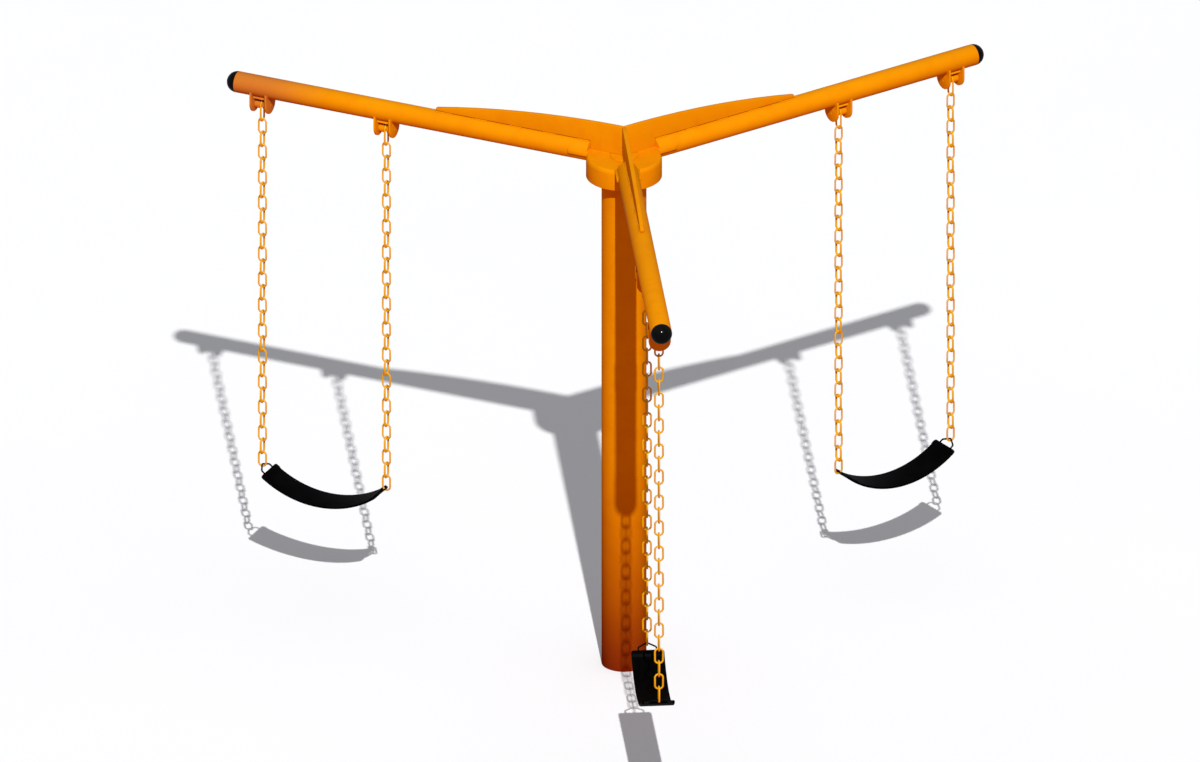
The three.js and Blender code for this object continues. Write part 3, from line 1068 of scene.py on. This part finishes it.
@dataclass
class PostAndHub:
    """The post, the drum on its top that the arms meet, and the boss over them."""

    post_radius: float = 0.097
    post_wall: float = 0.006
    post_floor: float = 0.010
    sides: int = 96
    hub_radius: float = 0.164
    hub_top_radius: float = 0.158
    hub_top: float = 0.005
    hub_shoulder: float = 0.0145
    hub_depth: float = 0.095
    hub_plate: float = 0.012
    boss_radius: float = 0.060
    boss_height: float = 0.0047
    weld_radius: float = 0.004
    gap: float = 0.00035
    weld_steps: int = 160

    def build(self, palette: Palette) -> None:
        """Models and mounts every piece on the post's line.

        Args:
            palette: The materials.
        """
        post = Bench.finish(self._post(), palette.paint)
        hub = Bench.finish(self._hub(), palette.paint)
        boss = Bench.finish(self._boss(), palette.paint)
        weld = Bench.finish(self._weld(), palette.paint, 80)
        Bench.mount(post, "frame", "frame_paint", "post_tube")
        Bench.mount(hub, "frame", "frame_paint", "hub_drum")
        Bench.mount(boss, "frame", "frame_paint", "hub_boss")
        Bench.mount(weld, "frame", "frame_paint")

    def _post(self) -> Piece:
        """Models the hollow post, with its foot's edge broken.

        Returns:
            The post.
        """
        low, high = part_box("post_tube")
        post = Bench.cylinder("post", self.post_radius, low.z, high.z, self.sides, Axis.Z)
        bore = self.post_floor - (high.z - low.z)
        Bench.push(post, lambda middle, normal: normal.z > 0.9, (0, 0, bore), self.post_wall)
        Bench.round_edges(post, lambda middle, run: middle.z < HAIR and abs(run.z) < 0.1, 0.0015)
        return post

    def _hub(self) -> Piece:
        """Models the drum, with a rounded shoulder and the hole that the post goes up.

        Returns:
            The drum.
        """
        top = ARM_AXIS + self.hub_top
        rim = top - self.hub_shoulder
        bottom = top - self.hub_depth
        drum = Bench.cylinder("hub", self.hub_radius, bottom, rim, self.sides, Axis.Z)
        Bench.push(drum, lambda middle, normal: normal.z > 0.9, (0, 0, self.hub_shoulder))
        narrow = self.hub_top_radius / self.hub_radius
        shrink = (narrow, narrow, 1)
        Bench.scale(drum, lambda point, normal: point.z > top - HAIR, shrink, (0, 0, top))
        hole = self.hub_radius - self.post_radius - self.gap
        upwards = (0, 0, self.hub_depth - self.hub_plate)
        Bench.push(drum, lambda middle, normal: normal.z < -0.9, upwards, hole)
        Bench.round_edges(drum, lambda middle, run: middle.z > top - HAIR, 0.005, 5)
        Bench.round_edges(
            drum, lambda middle, run: abs(middle.z - rim) < HAIR and abs(run.z) < 0.1, 0.004, 4
        )
        outside = self.hub_radius * 0.98
        Bench.round_edges(
            drum,
            lambda middle, run: middle.z < bottom + HAIR and Vector(middle.xy).length > outside,
            0.003,
        )
        return drum

    def _boss(self) -> Piece:
        """Models the low round boss in the middle of the hub's top.

        Returns:
            The boss.
        """
        low = ARM_AXIS + self.hub_top + self.gap
        high = low + self.boss_height
        boss = Bench.cylinder("hub_top_boss", self.boss_radius, low, high, 72, Axis.Z)
        Bench.round_edges(boss, lambda middle, run: middle.z > high - HAIR / 2, 0.0015)
        return boss

    def _weld(self) -> Piece:
        """Models the weld that runs round the post under the hub.

        Returns:
            The weld.
        """
        height = ARM_AXIS + self.hub_top - self.hub_depth - HAIR
        circle = arc(self.post_radius + HAIR, 0, 360, 360 / self.weld_steps)
        points = [(x, y, height) for x, y in circle]
        return Bench.wire("post_weld", points, self.weld_radius, True, (1.1, 0.92))


@dataclass
class SwingArm(Repeated):
    """One arm: tube, end cap, gusset, tongue plate and the welds that join them."""

    tube_radius: float = 0.0465
    tube_wall: float = 0.004
    tube_start: float = 0.157
    tube_end: float = 1.838
    gap: float = 0.00035
    cap_plug: float = 0.038
    gusset_half: float = 0.0085
    gusset_end: float = 0.892
    gusset_lift: float = 0.0503
    crest: tuple[tuple[float, float], ...] = (
        (0.0, 0.142),
        (0.31, 0.133),
        (0.608, 0.106),
        (0.888, 0.0625),
    )
    crest_cuts: int = 8
    crest_cut_pitch: float = 0.1
    boss_edge: float = 0.0603
    over_boss: float = 0.01041
    over_hub: float = 0.0055
    tongue_start: float = 0.150
    tongue_end: float = 0.247
    tongue_half: float = 0.054
    tongue_low: float = -0.008
    tongue_high: float = 0.010
    stitches: tuple[tuple[float, float], ...] = (
        (0.160, 0.216),
        (0.318, 0.380),
        (0.482, 0.540),
        (0.644, 0.706),
        (0.811, 0.888),
    )
    bead: float = 0.0034
    stitch_height: float = 0.0468
    hub_seam: tuple[float, float] = (0.064, 0.150)
    hub_seam_height: float = 0.0062
    hub_seam_bead: float = 0.0028
    tongue_seam: tuple[float, float] = (0.168, 0.243)
    tongue_bead: float = 0.0026
    hub_radius: float = 0.1645
    hub_bead: float = 0.0036
    sides: int = 72

    def model(self, palette: Palette) -> None:
        """Models each piece once, along +X from the post's middle line.

        Args:
            palette: The materials.
        """
        self.models = {
            "tube": Bench.finish(self._tube(), palette.paint),
            "cap": Bench.finish(self._cap(), palette.cap),
            "gusset": Bench.finish(self._gusset(), palette.paint),
            "tongue": Bench.finish(self._tongue(), palette.paint),
            "welds": Bench.finish(self._welds(), palette.paint, 80),
        }

    def build(self, arm: Arm) -> None:
        """Copies the pieces round to one arm and mounts them.

        Args:
            arm: The arm.
        """
        place = arm.turn @ Matrix.Translation((0, 0, ARM_AXIS))
        packed = {"tube": "arm_tube", "cap": "arm_end_cap", "gusset": "arm_gusset"}
        packed["tongue"] = "arm_tongue"
        for title, model in self.models.items():
            nodes = [f"{packed[title]}_{arm.label}"] if title in packed else []
            slot = "cap_plastic" if title == "cap" else "frame_paint"
            Bench.place(model, f"{title}_{arm.label}", place, "frame", slot, *nodes)

    def _tube(self) -> Piece:
        """Models the tube, closed at the hub and open at the end that takes the cap.

        Returns:
            The tube.
        """
        start, end = self.tube_start, self.tube_end
        tube = Bench.cylinder("tube_model", self.tube_radius, start, end, self.sides, Axis.X)
        bore = (-2 * self.cap_plug, 0, 0)
        Bench.push(tube, lambda middle, normal: normal.x > 0.9, bore, self.tube_wall)
        Bench.round_edges(
            tube, lambda middle, run: middle.x < start + HAIR and abs(run.x) < 0.1, 0.0015
        )
        outside = self.tube_radius - HAIR
        Bench.round_edges(
            tube,
            lambda middle, run: middle.x > end - HAIR / 2 and Vector(middle.yz).length > outside,
            0.0008,
            2,
        )
        return tube

    def _cap(self) -> Piece:
        """Models the domed cap with the plug that pushes into the tube.

        Returns:
            The cap.
        """
        face = self.tube_end + self.gap
        bpy.ops.object.select_all(action="DESELECT")
        bpy.ops.mesh.primitive_uv_sphere_add(
            segments=self.sides,
            ring_count=32,
            radius=self.tube_radius,
            location=(face, 0, 0),
            rotation=Axis.X.value,
        )
        cap = Bench.settle("cap_model")
        Bench.select(cap, Element.VERTEX, lambda point, normal: point.x < face - HAIR / 2)
        bpy.ops.mesh.delete(type="VERT")
        bpy.ops.mesh.select_mode(type="EDGE")
        bpy.ops.mesh.select_all(action="DESELECT")
        bpy.ops.mesh.select_non_manifold()
        bpy.ops.mesh.edge_face_add()
        Bench.done()
        Bench.push(
            cap,
            lambda middle, normal: abs(middle.x - face) < HAIR / 2 and abs(normal.x) > 0.9,
            (-self.cap_plug, 0, 0),
            self.tube_wall + 2 * self.gap,
        )
        Bench.close(cap)
        outside = self.tube_radius - HAIR
        Bench.round_edges(
            cap,
            lambda middle, run: abs(middle.x - face) < HAIR / 2
            and Vector(middle.yz).length > outside,
            0.001,
            2,
        )
        return cap

    def _crest_at(self, along: float) -> float:
        """Finds the gusset's height on a smooth line through its crest points.

        Args:
            along: The distance from the post's middle line.

        Returns:
            The height above the arm's middle.
        """
        total = 0.0
        for i, (here, height) in enumerate(self.crest):
            share = 1.0
            for j, (there, _) in enumerate(self.crest):
                if j != i:
                    share *= (along - there) / (here - there)
            total += share * height
        return total

    def _gusset(self) -> Piece:
        """Models the plate on edge over the arm, pointed where the three of them meet.

        Returns:
            The plate.
        """
        top = self.crest[0][1]
        half = self.gusset_half
        low, high = (self.gap, -half, self.gusset_lift), (self.gusset_end, half, top)
        plate = Bench.block("gusset_model", low, high)
        shoulder = self.gap + half / math.tan(math.radians(60))
        heel = self.tube_start - self.gap
        steps = [shoulder, self.boss_edge, self.boss_edge + HAIR, heel - HAIR, heel]
        steps += [self.crest_cut_pitch * i for i in range(1, self.crest_cuts + 1)]
        for along in steps:
            Bench.cut(plate, (along, 0, 0), (1, 0, 0))
        for along in [*steps, self.gusset_end]:
            Bench.shift(
                plate,
                lambda point, normal, x=along: abs(point.x - x) < 1e-5 and point.z > top - 1e-5,
                (0, 0, self._crest_at(along) - top),
            )
        level = (self.gusset_lift + self.crest[-1][1]) / 2
        edge = self.boss_edge + HAIR / 2
        Bench.shift(
            plate,
            lambda point, normal: point.x < edge and point.z < level,
            (0, 0, self.over_boss - self.gusset_lift),
        )
        Bench.shift(
            plate,
            lambda point, normal: edge < point.x < heel - HAIR / 2 and point.z < level,
            (0, 0, self.over_hub - self.gusset_lift),
        )
        tip = (self.gap, 0, 0)
        Bench.scale(plate, lambda point, normal: point.x < self.gap + 1e-5, (1, 0, 1), tip)
        Bench.close(plate)
        Bench.soften(plate, 0.0016, 3)
        return plate

    def _tongue(self) -> Piece:
        """Models the flat plate that passes through the tube's two sides.

        Returns:
            The plate.
        """
        half = self.tongue_half
        low = (self.tongue_start, -half, self.tongue_low)
        plate = Bench.block("tongue_model", low, (self.tongue_end, half, self.tongue_high))
        Bench.round_edges(
            plate,
            lambda middle, run: abs(run.z) > 0.9 and middle.x > self.tongue_end - HAIR,
            0.008,
            5,
        )
        Bench.soften(plate, 0.0014)
        return plate

    def _welds(self) -> Piece:
        """Models every weld of the arm as one piece.

        Returns:
            The welds.
        """
        beads = []
        for side in (-1, 1):
            across = side * (self.gusset_half + 0.0012)
            for start, end in self.stitches:
                beads.append(self._bead((start, across, self.stitch_height), end, self.bead))
            start, end = self.hub_seam
            beads.append(self._bead((start, across, self.hub_seam_height), end, self.hub_seam_bead))
            start, end = self.tongue_seam
            for level in (self.tongue_low, self.tongue_high):
                out = side * math.sqrt(self.tube_radius**2 - level**2)
                beads.append(self._bead((start, out, level), end, self.tongue_bead))
        beads.append(self._hub_bead())
        return Bench.join(beads, "welds_model")

    @staticmethod
    def _bead(start: Point, end: float, radius: float) -> Piece:
        """Models a weld bead that runs out along the arm.

        Args:
            start: Where it starts.
            end: How far out it ends.
            radius: Its radius.

        Returns:
            The bead.
        """
        steps = max(4, round((end - start[0]) / 0.004))
        run = (end - start[0]) / steps
        points = [(start[0] + run * i, start[1], start[2]) for i in range(steps + 1)]
        return Bench.wire("bead", points, radius, False, RIPPLE, 1)

    def _hub_bead(self) -> Piece:
        """Models the bead round the underside of the tube where it meets the hub.

        Returns:
            The bead.
        """
        points = [
            (math.sqrt(self.hub_radius**2 - across**2), across * 1.02, height * 1.02)
            for across, height in arc(self.tube_radius, 194, 347, 4)
        ]
        return Bench.wire("hub_bead", points, self.hub_bead, False, RIPPLE, 1)


@dataclass
class HangerSet(Repeated):
    """One hanger: a two-eared bracket, its pin, the bush on it and the first link."""

    spacing: float = 0.0716
    thickness: float = 0.009
    half_width: float = 0.0483
    top: float = -0.017
    round_centre: float = -0.071
    saddle_radius: float = 0.04685
    web_thickness: float = 0.009
    web_gap: float = 0.0003
    web_step: int = 6
    web_reach: int = 30
    ear_bead: float = 0.0026
    pin_radius: float = 0.007
    pin_proud: float = 0.0008
    bush_radius: float = 0.0185
    bush_neck: float = 0.012
    bush_neck_half: float = 0.005
    bush_flare: float = 0.002
    end_play: float = 0.0004
    bore_gap: float = 0.00035

    def model(self, palette: Palette, link: Piece) -> None:
        """Models each piece once, under the arm's middle line at the origin.

        Args:
            palette: The materials.
            link: The first link, already modelled about its lower bend.
        """
        self.models = {
            "bracket": Bench.finish(self._bracket(), palette.paint),
            "pin": Bench.finish(self._pin(), palette.paint),
            "bush": Bench.finish(self._bush(), palette.paint),
            "link": link,
        }

    def build(self, arm: Arm, hanger: Hanger) -> None:
        """Copies the pieces to one hanger's place and mounts them.

        Args:
            arm: The arm.
            hanger: The place along it.
        """
        label = f"{arm.label}_{hanger.label}"
        axis = arm.turn @ Matrix.Translation((hanger.value, 0, ARM_AXIS))
        eye = arm.turn @ Matrix.Translation((hanger.value, 0, LINK_EYE))
        swinging = f"hanger_links_{arm.label}"
        for title, name, where, body, slot in (
            ("bracket", "bracket", axis, "frame", "frame_paint"),
            ("pin", "pin", axis, "frame", "frame_paint"),
            ("bush", "bush", axis, swinging, "frame_paint"),
            ("link", "first_link", eye, swinging, "chain_paint"),
        ):
            node = f"hanger_{title}_{label}"
            Bench.place(self.models[title], f"{name}_{label}", where, body, slot, node)

    def _bracket(self) -> Piece:
        """Models the two ears, the web between them and the welds to the tube.

        Returns:
            The bracket.
        """
        parts = [self._web()]
        for side in (-1, 1):
            middle = side * self.spacing / 2
            parts.append(self._ear(middle))
            parts.append(self._ear_bead(middle + side * (self.thickness / 2 + 0.0008)))
        return Bench.join(parts, "bracket_model")

    def _ear(self, middle: float) -> Piece:
        """Models one round-bottomed ear, cut to the tube's round.

        Args:
            middle: Where its thickness is centred along the arm.

        Returns:
            The ear.
        """
        low, high = middle - self.thickness / 2, middle + self.thickness / 2
        ear = Bench.cylinder("ear", self.half_width, low, high, 64, Axis.X)
        Bench.select(ear, Element.FACE, everywhere)
        bpy.ops.mesh.bisect(
            plane_co=(0, 0, 0), plane_no=(0, 0, 1), use_fill=True, clear_outer=True
        )
        Bench.done()
        rise = (0, 0, self.top - self.round_centre)
        Bench.push(ear, lambda centre, normal: normal.z > 0.9, rise)
        Bench.shift(ear, everywhere, (0, 0, self.round_centre))
        saddle = Bench.cylinder("saddle", self.saddle_radius, low - 0.01, high + 0.01, 72, Axis.X)
        Bench.carve(ear, saddle)
        Bench.soften(ear, 0.0012)
        return ear

    def _web(self) -> Piece:
        """Models the curved web under the tube that joins the ears.

        Returns:
            The web.
        """
        inside = (self.spacing - self.thickness) / 2 + HAIR
        low = -(self.saddle_radius + self.web_gap + self.web_thickness)
        high = low + self.web_thickness
        strip = Bench.block("web", (-inside, -HAIR / 2, low), (inside, HAIR / 2, high))
        for side in (-1, 1):
            for degrees in range(0, self.web_reach, self.web_step):
                Bench.select(strip, Element.FACE, self._tip_test(side, side * degrees))
                bpy.ops.mesh.extrude_region_move(TRANSFORM_OT_translate={"value": (0, 0, 0)})
                turn = -math.radians(side * self.web_step)
                bpy.ops.transform.rotate(value=turn, orient_axis="X", center_override=(0, 0, 0))
                Bench.done()
        Bench.close(strip, 1e-6)
        return strip

    @staticmethod
    def _tip_test(side: int, degrees: float) -> Test:
        """Makes the test for one end face of the web.

        Args:
            side: The side of the web that the face is on.
            degrees: How far the face has turned from straight down.

        Returns:
            The test.
        """
        angle = math.radians(degrees)
        facing = Vector((0, side * math.cos(angle), side * math.sin(angle)))
        return lambda centre, normal: normal.dot(facing) > 0.9 and centre.y * side >= 0.0004

    def _ear_bead(self, along: float) -> Piece:
        """Models the weld that joins an ear to the tube.

        Args:
            along: Where the bead runs along the arm.

        Returns:
            The bead.
        """
        points = [(along, y, z) for y, z in arc(self.saddle_radius, 204, 337, 6)]
        return Bench.wire("ear_bead", points, self.ear_bead, False, RIPPLE, 1)

    def _pin(self) -> Piece:
        """Models the pin, with rounded ends and a shallow centre mark.

        Returns:
            The pin.
        """
        half = (self.spacing + self.thickness) / 2 + self.pin_proud
        pin = Bench.cylinder("pin_model", self.pin_radius, -half, half, 32, Axis.X)
        for side in (-1, 1):
            Bench.push(
                pin,
                lambda centre, normal, s=side: normal.x * s > 0.9 and abs(centre.x) > half - 0.0002,
                (-side * 0.0006, 0, 0),
                self.pin_radius * 0.72,
            )
        Bench.round_edges(
            pin,
            lambda middle, run: abs(middle.x) > half - 0.0001
            and Vector(middle.yz).length > self.pin_radius * 0.9,
            0.001,
        )
        Bench.shift(pin, everywhere, (0, 0, -PIN_DROP))
        return pin

    def _bush(self) -> Piece:
        """Models the bored bush, with the neck that the first link hangs in.

        Returns:
            The bush.
        """
        half = (self.spacing - self.thickness) / 2 - self.end_play
        bush = Bench.cylinder("bush_model", self.bush_radius, -half, half, 48, Axis.X)
        rim = self.bush_neck_half + self.bush_flare
        for along in (-rim, -self.bush_neck_half, self.bush_neck_half, rim):
            Bench.cut(bush, (along, 0, 0), (1, 0, 0))
        narrow = self.bush_neck / self.bush_radius
        Bench.scale(
            bush,
            lambda point, normal: abs(point.x) < self.bush_neck_half + 0.0005,
            (1, narrow, narrow),
            (0, 0, 0),
        )
        Bench.soften(bush, 0.0012, 3)
        clear = self.pin_radius + self.bore_gap
        bore = Bench.cylinder("bore", clear, -2 * half, 2 * half, 32, Axis.X)
        Bench.carve(bush, bore)
        Bench.shift(bush, everywhere, (0, 0, -PIN_DROP))
        return bush


@dataclass
class ChainSet(Repeated):
    """Round-wire links, and the chains made of them."""

    wire: float = 0.0041
    chain_wire: float = 0.0043
    half_width: float = 0.0174
    first_span: float = 0.09345
    end_span: float = 0.06902
    chain_span: float = 0.0689

    def link(self, name: str, span: float, wire: float, around: int, section: int) -> Piece:
        """Models a link in the X-Z plane, with its lower bend's wire centred at the origin.

        Args:
            name: The link's name.
            span: From one bend's wire centre to the other's.
            wire: The wire's radius, to its facets' corners.
            around: How many facets go round the link.
            section: How many facets go round its wire.

        Returns:
            The link.
        """
        step = math.pi / around
        bpy.ops.object.select_all(action="DESELECT")
        bpy.ops.mesh.primitive_torus_add(
            major_segments=around,
            minor_segments=section,
            major_radius=self.half_width / math.cos(step),
            minor_radius=wire,
            rotation=(math.pi / 2, step, 0),
        )
        link = Bench.settle(name)
        Bench.shift(link, lambda point, normal: point.z > 0, (0, 0, span - 2 * self.half_width))
        Bench.shift(link, everywhere, (0, 0, self.half_width))
        return link

    def model(self, palette: Palette) -> None:
        """Models one chain and one end link.

        Args:
            palette: The materials.
        """
        link = self.link("link_model", self.chain_span, self.chain_wire, 12, 6)
        links = []
        for index in range(CHAIN_LINKS):
            turn = Matrix.Rotation(math.pi / 2 * (index % 2), 4, "Z")
            drop = Matrix.Translation((0, 0, -(index + 1) * PITCH))
            links.append(Bench.copy(link, f"link_{index}", drop @ turn))
        Bench.discard(link)
        chain = Bench.join(links, "chain_model")
        end = self.link("end_link_model", self.end_span, self.wire, 28, 10)
        self.models = {
            "chain": Bench.finish(chain, palette.chain, 80),
            "end_link": Bench.finish(end, palette.chain, 80),
        }

    def first_link(self, palette: Palette) -> Piece:
        """Models the longer link that hangs from the bush, turned across the arm.

        Args:
            palette: The materials.

        Returns:
            The link.
        """
        link = self.link("first_link_model", self.first_span, self.wire, 28, 10)
        Bench.pick(link)
        link.rotation_euler = (0, 0, math.pi / 2)
        return Bench.finish(Bench.settle("first_link_model"), palette.chain, 80)

    def build(self, arm: Arm, hanger: Hanger) -> None:
        """Copies a chain and its end link to their place and mounts them.

        Args:
            arm: The arm.
            hanger: The place along it.
        """
        label = f"{arm.label}_{hanger.label}"
        eye = arm.turn @ Matrix.Translation((hanger.value, 0, LINK_EYE))
        foot = arm.turn @ Matrix.Translation((hanger.value, 0, SEAT_HANG))
        chain, end = f"chain_{label}", f"end_link_{label}"
        Bench.place(self.models["chain"], f"links_{label}", eye, chain, "chain_paint", chain)
        Bench.place(self.models["end_link"], f"last_link_{label}", foot, end, "chain_paint", end)


@dataclass
class BeltSeat(Repeated):
    """One seat: a thick belt hung in an arc, and the two rings moulded into its ends."""

    radius: float = 0.448
    thickness: float = 0.0095
    width: float = 0.144
    half_angle: float = 37.3
    corner: float = 0.012
    hem_from: float = 34.2
    hem_ramp: float = 0.8
    hem_thickness: float = 0.013
    slices: int = 56
    ring_wire: float = 0.00375
    ring_half_base: float = 0.0395
    ring_inset: float = 0.013
    ring_shoulder: float = 0.016
    ring_bend: float = 0.006
    ring_apex: float = 0.012
    ring_steps: int = 7
    apex_lift: float = 0.0082
    chain_offset: float = 0.295

    def model(self, palette: Palette) -> None:
        """Models one belt and its outer ring about the belt's lowest point.

        Args:
            palette: The materials.
        """
        self.models = {
            "belt": Bench.finish(self._belt(), palette.rubber, 50),
            "ring": Bench.finish(self._ring(), palette.ring, 80),
        }

    def build(self, arm: Arm) -> None:
        """Copies a belt and its two rings to their place and mounts them.

        Args:
            arm: The arm.
        """
        body = f"seat_{arm.label}"
        place = arm.turn @ Matrix.Translation((SEAT_MIDDLE, 0, BELT_UNDERSIDE))
        node = f"belt_seat_{arm.label}"
        Bench.place(self.models["belt"], f"belt_{arm.label}", place, body, "belt_rubber", node)
        for hanger, angle in ((Hanger.OUTER, 0.0), (Hanger.INNER, math.pi)):
            turned = place @ Matrix.Rotation(angle, 4, "Z")
            label = f"{arm.label}_{hanger.label}"
            node = f"seat_ring_{label}"
            Bench.place(self.models["ring"], f"ring_{label}", turned, body, "ring_coat", node)

    def _belt(self) -> Piece:
        """Models the belt: a flat strap with hems and round corners, bent to its arc.

        Returns:
            The belt.
        """
        half = self.radius * math.radians(self.half_angle)
        edge = self.width / 2
        belt = Bench.block("belt_model", (-half, 0, -edge), (half, self.thickness, edge))
        Bench.round_edges(belt, lambda middle, run: abs(run.y) > 0.9, self.corner, 6)
        hem = self.radius * math.radians(self.hem_from)
        ramp = self.radius * math.radians(self.hem_from - self.hem_ramp)
        inner = [ramp * (2 * i / self.slices - 1) for i in range(1, self.slices)]
        for along in [-hem, -ramp, *inner, ramp, hem]:
            Bench.cut(belt, (along, 0, 0), (1, 0, 0))
        Bench.shift(
            belt,
            lambda point, normal: abs(point.x) > hem - 1e-5 and point.y > self.thickness / 2,
            (0, self.hem_thickness - self.thickness, 0),
        )
        Bench.soften(belt, 0.0022, 3)
        Bench.pick(belt)
        sag = belt.modifiers.new("sag", "SIMPLE_DEFORM")
        sag.deform_method = "BEND"
        sag.deform_axis = "Z"
        sag.angle = math.radians(2 * self.half_angle)
        bpy.ops.object.modifier_apply(modifier=sag.name)
        belt.rotation_euler = (math.pi / 2, 0, 0)
        Bench.settle("belt_model")
        return belt

    def _ring_outline(self) -> list[tuple[float, float]]:
        """Draws the ring from one base corner over its apex to the other.

        Returns:
            Pairs across the belt and towards the apex, from the middle of the belt's end face.
        """
        tip, face = self._end_face()
        reach = math.hypot(self.chain_offset - tip, BELT_DROP + self.apex_lift - face)
        centre = reach - self.ring_apex
        base, shoulder = self.ring_half_base, self.ring_shoulder
        apex, inset = self.ring_apex, self.ring_inset
        distance = math.hypot(base, shoulder - centre)
        tangent = math.atan2(shoulder - centre, base) + math.acos(apex / distance)
        touch = (apex * math.cos(tangent), centre + apex * math.sin(tangent))
        slope = Vector((touch[0] - base, touch[1] - shoulder)).normalized() * self.ring_bend
        side = [(base - 0.003, -inset), (base - 0.0008, 0.0008 - inset), (base, 0.003 - inset)]
        bend = ((base, shoulder - self.ring_bend), (base, shoulder))
        bend = (*bend, (base + slope.x, shoulder + slope.y))
        for i in range(self.ring_steps):
            t = i / (self.ring_steps - 1)
            weights = ((1 - t) ** 2, 2 * t * (1 - t), t * t)
            x, y = (sum(w * p[k] for w, p in zip(weights, bend)) for k in (0, 1))
            side.append((x, y))
        for i in range(self.ring_steps):
            angle = tangent + (math.pi / 2 - tangent) * i / self.ring_steps
            side.append((apex * math.cos(angle), centre + apex * math.sin(angle)))
        return [*side, (0.0, centre + apex), *[(-x, y) for x, y in reversed(side)]]

    def _end_face(self) -> tuple[float, float]:
        """Finds the middle of the belt's end face.

        Returns:
            How far out it is, and how high.
        """
        middle = self.radius - self.hem_thickness / 2
        angle = math.radians(self.half_angle)
        return middle * math.sin(angle), self.radius - middle * math.cos(angle)

    def _ring(self) -> Piece:
        """Models the ring, tilted up from the belt's end to the last link.

        Returns:
            The ring.
        """
        tip, face = self._end_face()
        lift = math.atan2(BELT_DROP + self.apex_lift - face, self.chain_offset - tip)
        points = [
            (tip + along * math.cos(lift), -across, face + along * math.sin(lift))
            for across, along in self._ring_outline()
        ]
        return Bench.wire("ring_model", points, self.ring_wire, True)


@dataclass(frozen=True)
class Studio:
    """The pale floor, the sun and sky with a warm fill from below, and the camera."""

    azimuth: float = -5.03
    elevation: float = 24.63
    across: float = -0.1035
    below: float = -0.9673
    distance: float = 12.0
    view_width: float = 5.175
    floor_width: float = 80.0
    horizon: tuple[float, float] = (-0.15, 0.1)
    sun_elevation: float = 42.6
    sun_strength: float = 3.9
    sun_angle: float = 0.6
    sky: Colour = (0.345, 0.352, 0.375)
    low_fill: Colour = (0.66, 0.15, 0.0)
    reflected: Colour = (0.22, 0.22, 0.23)

    def build(self, shared: SharedEffects) -> None:
        """Sets up the floor, the lights and the camera.

        Args:
            shared: The shared effects.
        """
        bpy.ops.object.select_all(action="DESELECT")
        bpy.ops.mesh.primitive_plane_add(size=self.floor_width)
        floor = Bench.settle("studio_floor")
        floor.data.materials.append(StudioFloor().material(shared))
        floor.visible_diffuse = False
        floor.visible_glossy = False
        self._light()
        self._camera()

    def _light(self) -> None:
        """Adds the sun over the front and a soft even sky."""
        lean = math.radians(90 - self.sun_elevation)
        bpy.ops.object.light_add(type="SUN", rotation=(lean, 0, 0))
        sun = bpy.context.active_object
        sun.name = "studio_sun"
        sun.data.energy = self.sun_strength
        sun.data.angle = math.radians(self.sun_angle)
        world = bpy.data.worlds.new("studio_sky")
        world.use_nodes = True
        mixer = Mixer(world.node_tree)
        way = mixer.add("ShaderNodeSeparateXYZ")
        mixer.link(mixer.add("ShaderNodeTexCoord").outputs["Generated"], way.inputs[0])
        height = mixer.ramp(way.outputs["Z"], *self.horizon)
        backdrop = world.node_tree.nodes["Background"]
        around = mixer.blend(height, self.low_fill, self.sky)
        glossy = mixer.add("ShaderNodeLightPath").outputs["Is Glossy Ray"]
        mixer.link(mixer.blend(glossy, around, self.reflected), backdrop.inputs["Color"])
        bpy.context.scene.world = world
        bpy.context.scene.view_settings.view_transform = "Standard"

    def _camera(self) -> None:
        """Adds the camera, which looks down on the set from its front."""
        tilt = math.radians(90 - self.elevation)
        turn = math.radians(self.azimuth)
        facing = Matrix.Rotation(turn, 4, "Z") @ Matrix.Rotation(tilt, 4, "X")
        place = Vector((0, 0, ARM_AXIS)) + facing @ Vector((self.across, self.below, self.distance))
        bpy.ops.object.camera_add(location=place, rotation=(tilt, 0, turn))
        camera = bpy.context.active_object
        camera.name = "studio_camera"
        camera.data.type = "ORTHO"
        camera.data.ortho_scale = self.view_width
        bpy.context.scene.camera = camera


def main() -> None:
    """Builds the swing set's looks from the hub outwards, then the studio."""
    logging.basicConfig(level=logging.INFO, format="%(name)s: %(message)s")
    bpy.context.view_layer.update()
    shared = SharedEffects()
    palette = Palette(
        paint=PowderCoat().material(shared),
        chain=ChainCoat().material(shared),
        cap=GlossPlastic().material(shared),
        rubber=BeltRubber().material(shared),
        ring=RingCoat().material(shared),
    )
    PostAndHub().build(palette)
    arms, hangers, chains, seats = SwingArm(), HangerSet(), ChainSet(), BeltSeat()
    arms.model(palette)
    hangers.model(palette, chains.first_link(palette))
    chains.model(palette)
    seats.model(palette)
    for arm in Arm:
        arms.build(arm)
        for hanger in Hanger:
            hangers.build(arm, hanger)
            chains.build(arm, hanger)
        seats.build(arm)
    for group in (arms, hangers, chains, seats):
        group.clear()
    Studio().build(shared)
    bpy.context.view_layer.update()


if __name__ == "__main__":
    main()
